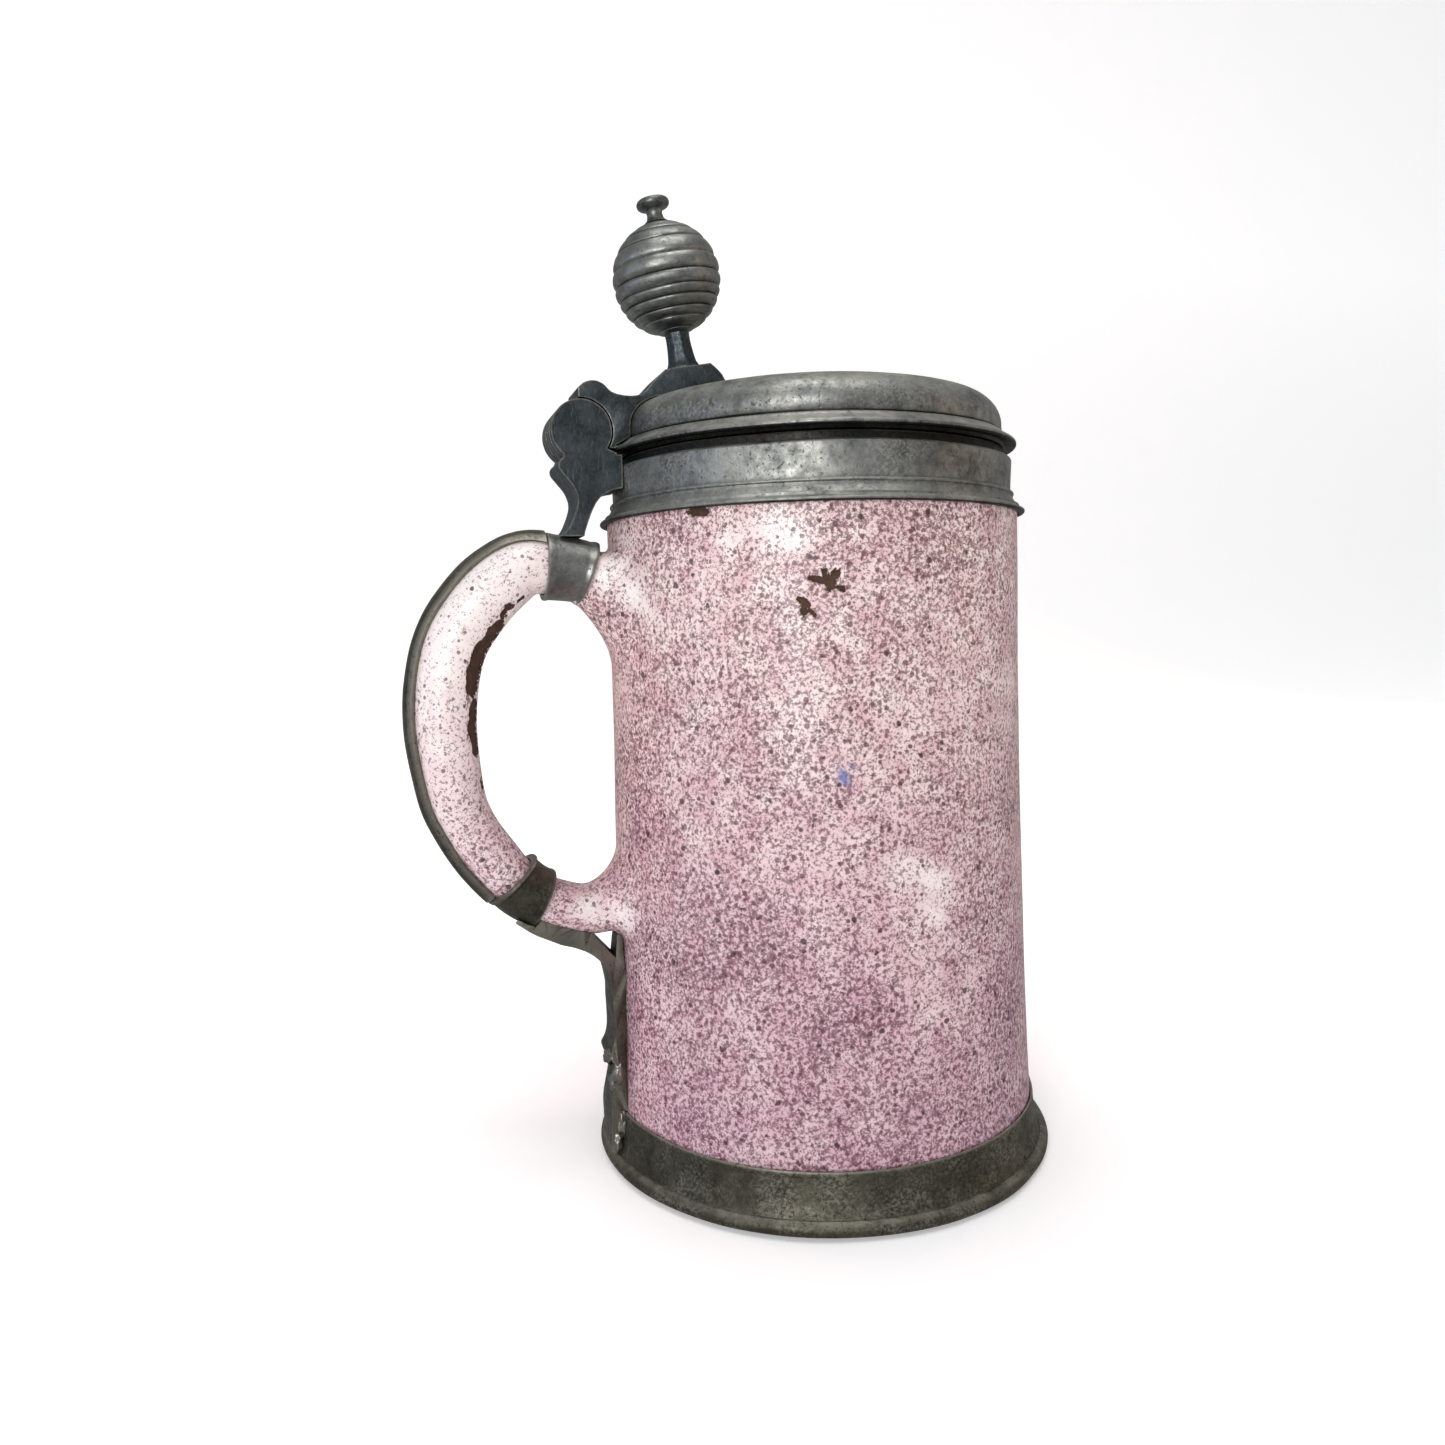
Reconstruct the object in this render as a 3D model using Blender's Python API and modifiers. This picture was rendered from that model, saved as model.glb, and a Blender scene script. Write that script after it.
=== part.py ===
"""Glazed earthenware tankard with pewter mounts: a one-piece jug with a bow handle, a pewter
foot and collar, and a domed lid that turns on a five-leaf hinge under a ball thumbpiece.

Metres, +Z up, handle towards -X. The object stands on z = 0 and is centred on the origin.
"""

import math

import bmesh
import bpy
from mathutils import Matrix, Vector

GAP = 0.0003  # between pieces that are soldered, bedded or seated on each other

# Jug, fired clay: radii outside, heights above the table
JUG_TOP_RADIUS = 0.0504
JUG_WAIST = 0.0008  # how far the wall is drawn in halfway up, against a straight taper
JUG_TAPER = 0.0024  # how much wider the foot is than the shoulder
JUG_SHOULDER = 0.1571
JUG_WALL = 0.0048
JUG_FLOOR = 0.0070
NECK_STEP = 0.0050  # the rim is this much narrower than the body, to take the collar
NECK_HEIGHT = 0.0114
BASE_STEP = 0.0018
RIM_ROUND = 0.0012

# Handle, fired in one with the jug
HANDLE_REACH = 0.0409  # from the wall of the jug to the middle of the bow
HANDLE_DROP = 0.0118  # from the shoulder down to the upper arm
HANDLE_LOW = 0.0634  # height of the lower arm
HANDLE_THICKNESS = 0.0140
HANDLE_WIDTH = 0.0180

# Foot ring
FOOT_SPREAD = 0.0045  # from the jug's wall out to the bead
FOOT_HEIGHT = 0.0135
FOOT_BEAD = 0.0037
FOOT_WALL = 0.0010
FOOT_LEDGE = 0.0075
FOOT_PLATE = 0.0023

# Rim collar and the plaster that beds it
BEDDING = 0.0011
COLLAR_WALL = 0.0019
COLLAR_FLARE = 0.0028
COLLAR_FLARE_HEIGHT = 0.0044
COLLAR_SKIRT = 0.0017  # how far the collar hangs below the jug's shoulder
COLLAR_TOP_THICKNESS = 0.0015

# Lid
LID_OVERHANG = 0.0012
LID_STEP = 0.0034
LID_LIP = 0.0036
LID_RISE = 0.0178  # underside of the lip to the crown
LID_SHOULDER = 0.0090
LID_WALL = 0.0018
LID_FLANGE_DEPTH = 0.0046
LID_FLANGE_GAP = 0.0008

# Hinge
HINGE_OUT = 0.0090  # hinge line outside the collar's wall
HINGE_UP = 0.0054  # hinge line above the collar
HINGE_WIDTH = 0.0135
KNUCKLE_RADIUS = 0.0070
KNUCKLES = 5
KNUCKLE_CLEARANCE = 0.0004
PIN_RADIUS = 0.0016
PIN_CLEARANCE = 0.00015
PIN_CAP = 0.0010  # the near knuckle stays closed over the pin's end

# Thumbpiece: a stem, a hollow ball in two halves and a button, on one leaning axis
THUMB_INSET = 0.0153  # stem inside the lid's side wall
THUMB_LEAN = math.radians(9.6)
PAD_THICKNESS = 0.0059
PAD_RADIUS = 0.0100
STEM_RADIUS = 0.0041
STEM_WAIST = 0.0031
STEM_LENGTH = 0.0084
BALL_RADIUS = 0.0128
BALL_HEIGHT = 0.0258
BALL_WALL = 0.0016
BALL_RIB = 0.0026
BALL_RIB_DEPTH = 0.0004
BUTTON_RADIUS = 0.0039
BUTTON_NECK = 0.0019
BUTTON_HEIGHT = 0.0054

# Bands and straps of sheet pewter
BAND_THICKNESS = 0.0014
UPPER_BAND_FROM = 0.0064  # from the jug's wall
UPPER_BAND_LENGTH = 0.0106
LOWER_BAND_AT = 0.805  # share of the handle's run
LOWER_BAND_LENGTH = 0.0092
STRAP_THICKNESS = 0.0021
STRAP_WIDTH = 0.0088
FOOT_STRAP_THICKNESS = 0.0030
FOOT_STRAP_WIDTH = 0.0124
FOOT_STRAP_TOP = 0.0566
FOOT_STRAP_JOIN = 0.0502
REPAIR_HEIGHT = 0.0256
REPAIR_LENGTH = 0.0080
REPAIR_THICKNESS = 0.0016

RING_STEPS = 48
SMALL_STEPS = 24

# What follows from the sizes above
JUG_FOOT_RADIUS = JUG_TOP_RADIUS + JUG_TAPER
FOOT_RADIUS = JUG_FOOT_RADIUS + FOOT_SPREAD
NECK_RADIUS = JUG_TOP_RADIUS - NECK_STEP
RIM_TOP = JUG_SHOULDER + NECK_HEIGHT
COLLAR_BORE = NECK_RADIUS + 2 * GAP + BEDDING
COLLAR_RADIUS = COLLAR_BORE + COLLAR_WALL
COLLAR_BOTTOM = JUG_SHOULDER - COLLAR_SKIRT
COLLAR_TOP = RIM_TOP + GAP + COLLAR_TOP_THICKNESS
LID_LIP_RADIUS = COLLAR_RADIUS + LID_OVERHANG
LID_RADIUS = LID_LIP_RADIUS - LID_STEP
LID_BASE = COLLAR_TOP + GAP
HANDLE_TOP = JUG_SHOULDER - HANDLE_DROP
AXIS_X = (JUG_TOP_RADIUS + HANDLE_REACH + HANDLE_THICKNESS / 2 + GAP + STRAP_THICKNESS - FOOT_RADIUS) / 2
JUG_AXIS = Vector((AXIS_X, 0.0, 0.0))
HINGE = Vector((AXIS_X - COLLAR_RADIUS - HINGE_OUT, 0.0, COLLAR_TOP + HINGE_UP))


# ---------------------------------------------------------------- scene, materials, objects


def clear_scene():
    for obj in list(bpy.data.objects):
        bpy.data.objects.remove(obj)


def collection(name):
    made = bpy.data.collections.new(name)
    bpy.context.scene.collection.children.link(made)
    return made


def material(name, colour, roughness, metallic=0.0):
    made = bpy.data.materials.new(name)
    made.use_nodes = True
    shader = made.node_tree.nodes["Principled BSDF"]
    shader.inputs["Base Color"].default_value = (*colour, 1.0)
    shader.inputs["Roughness"].default_value = roughness
    shader.inputs["Metallic"].default_value = metallic
    made.diffuse_color = (*colour, 1.0)
    return made


def new_object(name, mesh, place=(0.0, 0.0, 0.0), lean=0.0):
    obj = bpy.data.objects.new(name, mesh)
    obj.location = place
    obj.rotation_euler = (0.0, lean, 0.0)
    CUTTERS.objects.link(obj)
    obj.hide_render = True
    obj.display_type = "WIRE"
    return obj


def keep(obj, finish, parent=None):
    """Makes a shape one of the object's pieces, with its finish, under its parent empty."""
    CUTTERS.objects.unlink(obj)
    PARTS.objects.link(obj)
    obj.hide_render = False
    obj.display_type = "TEXTURED"
    obj.data.materials.append(finish)
    obj.data.shade_smooth()
    obj.data.set_sharp_from_angle(angle=math.radians(40))
    if parent:
        obj.location -= parent.location
        obj.parent = parent
    return obj


def boolean(obj, operation, *others):
    for other in others:
        modifier = obj.modifiers.new(operation.lower(), "BOOLEAN")
        modifier.operation = operation
        modifier.solver = "EXACT"
        modifier.object = other


# ---------------------------------------------------------------- kinds of shape


def turned(name, outline, place=JUG_AXIS, lean=0.0, steps=RING_STEPS):
    """A turned piece. The outline is (radius, height) points, down the outside and back up the
    inside; it closes on itself, or on the axis where both of its ends lie there."""
    mesh = bpy.data.meshes.new(name)
    solid = bmesh.new()
    corners = [solid.verts.new((radius, 0.0, height)) for radius, height in outline]
    for first, second in zip(corners, corners[1:]):
        solid.edges.new((first, second))
    if outline[0][0] > 0.0:
        solid.edges.new((corners[-1], corners[0]))
    solid.to_mesh(mesh)
    solid.free()
    obj = new_object(name, mesh, place, lean)
    screw = obj.modifiers.new("turn", "SCREW")
    screw.steps = steps
    screw.render_steps = steps
    screw.use_merge_vertices = True
    screw.merge_threshold = 0.00001
    screw.use_smooth_shade = True
    return obj


def cylinder(name, radius, y_from, y_to, place=HINGE, steps=48):
    """A round bar along Y, from one distance to another on either side of the place."""
    mesh = bpy.data.meshes.new(name)
    solid = bmesh.new()
    bmesh.ops.create_cone(
        solid, cap_ends=True, segments=steps, radius1=radius, radius2=radius, depth=y_to - y_from
    )
    bmesh.ops.rotate(solid, verts=solid.verts, matrix=Matrix.Rotation(math.pi / 2, 3, "X"))
    bmesh.ops.translate(solid, verts=solid.verts, vec=(0.0, (y_from + y_to) / 2, 0.0))
    solid.to_mesh(mesh)
    solid.free()
    return new_object(name, mesh, place)


def mesh_of(curve):
    """The curve's own solid as a mesh object, with its caps welded on."""
    bpy.context.view_layer.update()
    evaluated = curve.evaluated_get(bpy.context.evaluated_depsgraph_get())
    mesh = bpy.data.meshes.new_from_object(evaluated)
    solid = bmesh.new()
    solid.from_mesh(mesh)
    bmesh.ops.remove_doubles(solid, verts=solid.verts, dist=0.000002)
    bmesh.ops.recalc_face_normals(solid, faces=solid.faces)
    solid.to_mesh(mesh)
    solid.free()
    name = curve.name
    matrix = curve.matrix_world.copy()
    bpy.data.objects.remove(curve)
    obj = new_object(name, mesh)
    obj.matrix_world = matrix
    return obj


def plate(name, outline, width):
    """A flat outline of (x, z) points, as thick as the width along Y and centred on y = 0."""
    curve = bpy.data.curves.new(name, "CURVE")
    curve.dimensions = "2D"
    curve.fill_mode = "BOTH"
    curve.extrude = width / 2
    spline = curve.splines.new("POLY")
    spline.points.add(len(outline) - 1)
    for point, (x, z) in zip(spline.points, outline):
        point.co = (x, z, 0.0, 1.0)
    spline.use_cyclic_u = True
    obj = new_object(name, curve)
    obj.rotation_euler = (math.pi / 2, 0.0, 0.0)
    return mesh_of(obj)


def smooth_line(points, steps=4):
    """Points on a smooth line through the given ones, as a list (Catmull-Rom)."""
    ends = [points[0] * 2 - points[1], *points, points[-1] * 2 - points[-2]]
    line = []
    for before, start, end, after in zip(ends, ends[1:], ends[2:], ends[3:]):
        for step in range(steps):
            t = step / steps
            line.append(
                (
                    start * 2
                    + (end - before) * t
                    + (before * 2 - start * 5 + end * 4 - after) * t**2
                    + (start * 3 - before - end * 3 + after) * t**3
                )
                / 2
            )
    return line + [points[-1]]


def smooth_outline(points, steps=3):
    """The same for (x, z) pairs."""
    return [(p.x, p.y) for p in smooth_line([Vector(pair) for pair in points], steps)]


# ---------------------------------------------------------------- handle line


def handle_points():
    """The middle line of the handle from inside the upper wall to inside the lower one, as
    (x, z, fullness), where fullness swells the section at the roots."""
    shape = (
        (-0.09, 0.935, 1.60),
        (0.078, 0.963, 1.12),
        (0.235, 0.989, 0.84),
        (0.479, 0.999, 0.94),
        (0.631, 0.960, 1.02),
        (0.795, 0.878, 1.05),
        (0.932, 0.762, 1.04),
        (0.991, 0.581, 1.02),
        (0.956, 0.385, 0.94),
        (0.890, 0.282, 0.88),
        (0.765, 0.179, 0.88),
        (0.570, 0.067, 0.80),
        (0.284, 0.002, 0.83),
        (0.064, 0.000, 1.00),
        (-0.09, 0.000, 1.40),
    )
    rise = HANDLE_TOP - HANDLE_LOW
    return [
        Vector((AXIS_X - JUG_TOP_RADIUS - out * HANDLE_REACH, HANDLE_LOW + up * rise, full))
        for out, up, full in shape
    ]


def handle_line():
    return smooth_line(handle_points(), 4)


def run_lengths(line):
    """Distance along the line to each of its points."""
    lengths = [0.0]
    for first, second in zip(line, line[1:]):
        lengths.append(lengths[-1] + (second.xy - first.xy).length)
    return lengths


def stretch(start, length, steps=8):
    """Part of the handle's line, from a distance along it."""
    line = handle_line()
    lengths = run_lengths(line)
    stations = []
    for step in range(steps + 1):
        at = start + length * step / steps
        index = max(i for i in range(len(line) - 1) if lengths[i] <= at)
        share = (at - lengths[index]) / (lengths[index + 1] - lengths[index])
        stations.append(line[index].lerp(line[index + 1], share))
    return stations


def distance_where(test):
    """Distance along the handle's line to its first point that passes the test."""
    line = handle_line()
    lengths = run_lengths(line)
    return next(length for length, point in zip(lengths, line) if test(point))


def offset_line(line, distance):
    """The outer side of the handle along the line, moved out by a distance, as (x, z) pairs."""
    moved = []
    for index, point in enumerate(line):
        before = line[max(index - 1, 0)]
        after = line[min(index + 1, len(line) - 1)]
        along = (after.xy - before.xy).normalized()
        outward = Vector((along.y, -along.x))
        half = HANDLE_THICKNESS / 2 * point.z
        moved.append(tuple(point.xy + outward * (half + distance)))
    return moved


def handle_sweep(name, line, extra=0.0, steps=16):
    """An oval bar along the line, larger than the handle all round by the extra distance."""
    section = bpy.data.curves.new(name + "_section", "CURVE")
    section.dimensions = "2D"
    ring = section.splines.new("POLY")
    ring.points.add(steps - 1)
    for index, point in enumerate(ring.points):
        angle = math.tau * index / steps
        across = (HANDLE_WIDTH / 2 + extra) * math.cos(angle)
        through = (HANDLE_THICKNESS / 2 + extra) * math.sin(angle)
        point.co = (across, through, 0.0, 1.0)
    ring.use_cyclic_u = True
    section_object = new_object(name + "_section", section)
    curve = bpy.data.curves.new(name, "CURVE")
    curve.dimensions = "3D"
    curve.bevel_mode = "OBJECT"
    curve.bevel_object = section_object
    curve.use_fill_caps = True
    spline = curve.splines.new("POLY")
    spline.points.add(len(line) - 1)
    for point, (x, z, full) in zip(spline.points, line):
        point.co = (x, 0.0, z, 1.0)
        point.radius = full
    swept = mesh_of(new_object(name, curve))
    bpy.data.objects.remove(section_object)
    return swept


# ---------------------------------------------------------------- turned outlines


def wall_radius(height):
    """Outside of the jug's wall: a slight taper, drawn in a little halfway up."""
    share = (height - FOOT_HEIGHT) / (JUG_SHOULDER - FOOT_HEIGHT)
    straight = JUG_FOOT_RADIUS + (JUG_TOP_RADIUS - JUG_FOOT_RADIUS) * share
    return straight - JUG_WAIST * 4 * share * (1 - share)


def wall_outline(extra=0.0, steps=6):
    """The wall from the shoulder down to where the foot ring begins to hide it."""
    low, high = FOOT_HEIGHT - GAP, JUG_SHOULDER
    heights = [high + (low - high) * step / steps for step in range(steps + 1)]
    return [(wall_radius(height) + extra, height) for height in heights]


def base_outline():
    inner = JUG_FOOT_RADIUS - BASE_STEP
    return [
        (JUG_FOOT_RADIUS, FOOT_HEIGHT - 3 * GAP),
        (inner, FOOT_HEIGHT - 0.0020),
        (inner, FOOT_PLATE + GAP + 0.0008),
        (inner - 0.0008, FOOT_PLATE + GAP),
    ]


def jug_outline():
    neck = [
        (0.0, RIM_TOP),
        (NECK_RADIUS - RIM_ROUND, RIM_TOP),
        (NECK_RADIUS - RIM_ROUND * 0.3, RIM_TOP - RIM_ROUND * 0.3),
        (NECK_RADIUS, RIM_TOP - RIM_ROUND),
        (NECK_RADIUS, JUG_SHOULDER),
    ]
    return neck + wall_outline() + base_outline() + [(0.0, FOOT_PLATE + GAP)]


def cavity_outline():
    bottom = FOOT_PLATE + GAP + JUG_FLOOR
    mouth = NECK_RADIUS - JUG_WALL
    body = JUG_TOP_RADIUS - JUG_WALL
    foot = JUG_FOOT_RADIUS - BASE_STEP - JUG_WALL
    corner = 0.0050
    return [
        (0.0, RIM_TOP + 0.0100),
        (mouth + 0.0012, RIM_TOP + 0.0100),
        (mouth + 0.0012, RIM_TOP),
        (mouth, RIM_TOP - 0.0014),
        (mouth, JUG_SHOULDER - 0.0030),
        (body, JUG_SHOULDER - 0.0110),
        (foot, bottom + corner),
        (foot - corner * 0.3, bottom + corner * 0.3),
        (foot - corner, bottom),
        (0.0, bottom),
    ]


def foot_outline():
    """Foot ring: a cove from the thin top edge out to a bead, and a ledge under the clay."""
    bore = JUG_FOOT_RADIUS + GAP
    top = (bore + FOOT_WALL, FOOT_HEIGHT)
    cove_end = FOOT_RADIUS - 0.0022
    cove = []
    for step in range(1, 6):
        angle = math.pi / 2 * step / 5
        radius = cove_end - (cove_end - top[0]) * math.cos(angle)
        height = FOOT_BEAD + (FOOT_HEIGHT - FOOT_BEAD) * (1 - math.sin(angle))
        cove.append((radius, height))
    bead_middle = FOOT_BEAD * 0.52
    bead = []
    for step in range(7):
        angle = math.radians(68) - math.radians(158) * step / 6
        bead.append(
            (
                FOOT_RADIUS - 0.0019 + 0.0019 * math.cos(angle),
                bead_middle + bead_middle * math.sin(angle),
            )
        )
    return [
        (bore, FOOT_HEIGHT),
        top,
        *cove,
        *bead,
        (bore - FOOT_LEDGE, 0.0),
        (bore - FOOT_LEDGE, FOOT_PLATE),
        (bore, FOOT_PLATE),
    ]


def foot_cutter_outline():
    """The foot ring's outer side moved out by the gap, solid to the axis."""
    outside = foot_outline()[1:14]
    grown = [(radius + GAP, height + GAP) for radius, height in outside]
    return [(0.0, FOOT_HEIGHT + GAP), *grown, (FOOT_RADIUS, -0.0010), (0.0, -0.0010)]


def foot_bedding_outline():
    inner = JUG_FOOT_RADIUS - BASE_STEP + GAP
    outer = JUG_FOOT_RADIUS
    top, bottom = FOOT_HEIGHT - 0.0030, FOOT_PLATE + GAP
    return [(outer, top), (outer, bottom), (inner, bottom), (inner, top)]


def collar_outline():
    skirt = JUG_TOP_RADIUS + GAP + 0.0001
    flare = COLLAR_RADIUS + COLLAR_FLARE
    line = COLLAR_BOTTOM + COLLAR_FLARE_HEIGHT
    return [
        (COLLAR_RADIUS - 0.0006, COLLAR_TOP),
        (COLLAR_RADIUS - 0.0006, COLLAR_TOP - 0.0020),
        (COLLAR_RADIUS, COLLAR_TOP - 0.0028),
        (COLLAR_RADIUS - 0.0003, line + 0.0006),
        (COLLAR_RADIUS + 0.0003, line),
        (COLLAR_RADIUS + 0.0010, line - 0.0016),
        (flare - 0.0006, COLLAR_BOTTOM + 0.0010),
        (flare, COLLAR_BOTTOM + 0.0003),
        (flare - 0.0003, COLLAR_BOTTOM),
        (skirt, COLLAR_BOTTOM),
        (skirt, JUG_SHOULDER + GAP),
        (COLLAR_BORE, JUG_SHOULDER + GAP),
        (COLLAR_BORE, RIM_TOP + GAP),
        (NECK_RADIUS - RIM_ROUND, RIM_TOP + GAP),
        (NECK_RADIUS - RIM_ROUND, COLLAR_TOP),
    ]


def collar_cutter_outline():
    """The collar's outer side moved out by the gap, solid to the axis."""
    grown = [(radius + GAP, height) for radius, height in collar_outline()[1:9]]
    top = COLLAR_TOP + GAP
    bottom = COLLAR_BOTTOM - GAP
    return [(0.0, top), (grown[0][0], top), *grown, (grown[-1][0], bottom), (0.0, bottom)]


def rim_bedding_outline():
    inner, outer = NECK_RADIUS + GAP, NECK_RADIUS + GAP + BEDDING
    top, bottom = RIM_TOP, JUG_SHOULDER + GAP
    return [(outer, top), (outer, bottom), (inner, bottom), (inner, top)]


def crown_height(radius, extra=0.0):
    """Upper surface of the lid: a low crown inside a quarter-round shoulder."""
    flat = LID_RADIUS - LID_SHOULDER
    crown = LID_BASE + LID_RISE
    edge = crown - 0.0045
    if radius <= flat:
        return crown - (crown - edge) * (radius / flat) ** 2 + extra
    share = min((radius - flat) / LID_SHOULDER, 1.0)
    return edge - (edge - LID_BASE - LID_LIP - 0.0022) * (1 - math.sqrt(1 - share**2)) + extra


def dome_outline(inset):
    """The lid's dome from the axis down to its lip, drawn in by the wall for its inner side."""
    points = []
    steps = 9
    for step in range(steps + 1):
        share = math.sin(math.pi / 2 * step / steps)
        radius = LID_RADIUS * share
        points.append((radius * (1 - inset / LID_RADIUS), crown_height(radius) - inset))
    return points


def lid_outline():
    bottom = LID_BASE
    flange = NECK_RADIUS - JUG_WALL - LID_FLANGE_GAP
    plate_top = bottom + LID_WALL
    lip = [
        (LID_RADIUS, bottom + LID_LIP),
        (LID_RADIUS + 0.0008, bottom + LID_LIP - 0.0010),
        (LID_LIP_RADIUS - 0.0006, bottom + 0.0019),
        (LID_LIP_RADIUS, bottom + 0.0012),
        (LID_LIP_RADIUS - 0.0002, bottom + 0.0002),
        (LID_LIP_RADIUS - 0.0006, bottom),
    ]
    under = [
        (flange, bottom),
        (flange, bottom - LID_FLANGE_DEPTH),
        (flange - LID_WALL, bottom - LID_FLANGE_DEPTH),
        (flange - LID_WALL, plate_top),
        (LID_RADIUS - LID_WALL, plate_top),
    ]
    inside = [point for point in reversed(dome_outline(LID_WALL)) if point[1] > plate_top + 0.0005]
    return dome_outline(0.0) + lip + under + inside


def lid_cutter_outline():
    """The lid's upper side moved out by the gap, solid to the axis and down to its underside."""
    dome = [(radius + GAP if radius else 0.0, height + GAP) for radius, height in dome_outline(0.0)]
    lip_top = LID_BASE + LID_LIP
    return dome + [
        (LID_RADIUS + GAP, lip_top),
        (LID_LIP_RADIUS + GAP, LID_BASE + 0.0020),
        (LID_LIP_RADIUS + GAP, LID_BASE - GAP),
        (0.0, LID_BASE - GAP),
    ]


# ---------------------------------------------------------------- pieces


def make_jug(glaze):
    jug = turned("faience_jug", jug_outline())
    handle = handle_sweep("handle_clay", handle_line())
    boolean(jug, "UNION", handle)
    boolean(jug, "DIFFERENCE", turned("jug_cavity", cavity_outline()))
    keep(jug, glaze)


def make_foot(pewter, plaster):
    keep(turned("foot_ring", foot_outline()), pewter)
    keep(turned("foot_bedding", foot_bedding_outline()), plaster)


def make_collar(pewter, plaster):
    keep(turned("rim_collar", collar_outline()), pewter)
    keep(turned("rim_bedding", rim_bedding_outline()), plaster)


def knuckle_spans():
    """(from, to) along Y of each hinge leaf's knuckle, near side first."""
    pitch = HINGE_WIDTH / KNUCKLES
    edge = -HINGE_WIDTH / 2
    return [
        (edge + pitch * index + GAP / 2, edge + pitch * (index + 1) - GAP / 2)
        for index in range(KNUCKLES)
    ]


def clear_knuckles(leaf, spans, name):
    """Cuts room in one leaf for the knuckles of the other."""
    for index, (low, high) in enumerate(spans):
        reach = KNUCKLE_RADIUS + KNUCKLE_CLEARANCE
        low = low - GAP if index or name == "bracket" else low - 0.0020
        high = high + GAP if index < len(spans) - 1 or name == "bracket" else high + 0.0020
        boolean(leaf, "DIFFERENCE", cylinder(f"{name}_slot_{index}", reach, low, high))


def pin_bore(name):
    return cylinder(
        name,
        PIN_RADIUS + PIN_CLEARANCE,
        -HINGE_WIDTH / 2 + PIN_CAP,
        HINGE_WIDTH / 2 + 0.0020,
        steps=24,
    )


def thumb_base():
    """Where the stem's axis meets the pad on the lid."""
    radius = LID_RADIUS - THUMB_INSET
    return Vector((AXIS_X - radius, 0.0, crown_height(radius) + PAD_THICKNESS))


def make_lid(pewter, pivot):
    keep(turned("lid", lid_outline()), pewter, pivot)
    make_hinge_leaf(pewter, pivot)
    make_thumbpiece(pewter, pivot)


def leaf_outline():
    """Side view of the lid's leaf: knuckle, notched back, and a foot that climbs on the dome."""
    base = thumb_base()
    rise = math.tan(THUMB_LEAN)
    top = [
        (HINGE.x - 0.0004, HINGE.z + 0.0096),
        (HINGE.x + 0.0012, HINGE.z + 0.0108),
        (HINGE.x + 0.0036, HINGE.z + 0.0111),
        (HINGE.x + 0.0073, HINGE.z + 0.0087),
        (HINGE.x + 0.0115, HINGE.z + 0.0080),
        (HINGE.x + 0.0151, HINGE.z + 0.0091),
        (HINGE.x + 0.0189, HINGE.z + 0.0131),
        (base.x - PAD_RADIUS * 0.62, base.z - PAD_RADIUS * 0.62 * rise - 0.0002),
    ]
    pad = [
        (base.x - STEM_RADIUS * 1.15, base.z - STEM_RADIUS * 1.15 * rise),
        (base.x + STEM_RADIUS * 1.15, base.z + STEM_RADIUS * 1.15 * rise),
        (base.x + PAD_RADIUS * 0.75, base.z - 0.0004),
        (base.x + PAD_RADIUS, base.z - 0.0022),
        (base.x + PAD_RADIUS, LID_BASE + LID_LIP),
    ]
    under = [
        (HINGE.x + 0.0110, LID_BASE + 0.0011),
        (HINGE.x + 0.0066, LID_BASE + 0.0012),
        (HINGE.x + 0.0052, LID_BASE + 0.0022),
        (HINGE.x + 0.0026, HINGE.z - 0.0010),
        (HINGE.x - 0.0004, HINGE.z + 0.0030),
    ]
    return smooth_outline(top) + pad + under


def set_origin(obj, place):
    """Moves the object's origin to a place on its joint's axis, and leaves its shape where it is."""
    obj.data.transform(Matrix.Translation(-place) @ obj.matrix_basis)
    obj.matrix_basis = Matrix.Translation(place)


def make_hinge_leaf(pewter, pivot):
    leaf = plate("lid_hinge_leaf", leaf_outline(), HINGE_WIDTH - 0.0002)
    half = HINGE_WIDTH / 2 - 0.0001
    boolean(leaf, "UNION", cylinder("leaf_knuckles", KNUCKLE_RADIUS, -half, half))
    clear_knuckles(leaf, knuckle_spans()[0::2], "leaf")
    boolean(leaf, "DIFFERENCE", pin_bore("leaf_bore"), turned("lid_gap", lid_cutter_outline()))
    set_origin(leaf, HINGE)
    keep(leaf, pewter, pivot)


def bracket_outline():
    """Side view of the fixed leaf: knuckle, spurred back, waist, and a toe on the upper band."""
    toe = upper_band_top()
    collar = AXIS_X - COLLAR_RADIUS
    back = [
        (HINGE.x - 0.0044, HINGE.z - 0.0062),
        (HINGE.x - 0.0057, HINGE.z - 0.0086),
        (HINGE.x - 0.0041, HINGE.z - 0.0105),
        (HINGE.x - 0.0023, HINGE.z - 0.0128),
        (HINGE.x - 0.0014, HINGE.z - 0.0155),
        (HINGE.x - 0.0019, HINGE.z - 0.0182),
        (HINGE.x - 0.0036, toe + 0.0020),
        (HINGE.x - 0.0056, toe),
    ]
    front = [
        (HINGE.x - 0.0002, toe),
        (HINGE.x + 0.0003, toe + 0.0018),
        (HINGE.x + 0.0018, HINGE.z - 0.0183),
        (HINGE.x + 0.0037, HINGE.z - 0.0153),
        (HINGE.x + 0.0066, HINGE.z - 0.0135),
        (collar + 0.0010, HINGE.z - 0.0128),
    ]
    top = [
        (collar + 0.0010, COLLAR_TOP - 0.0002),
        (HINGE.x + 0.0072, LID_BASE + 0.0004),
        (HINGE.x + 0.0054, LID_BASE + 0.0012),
        (HINGE.x + 0.0026, HINGE.z + 0.0010),
        (HINGE.x - 0.0030, HINGE.z),
    ]
    return smooth_outline(back) + smooth_outline(front) + top


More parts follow.
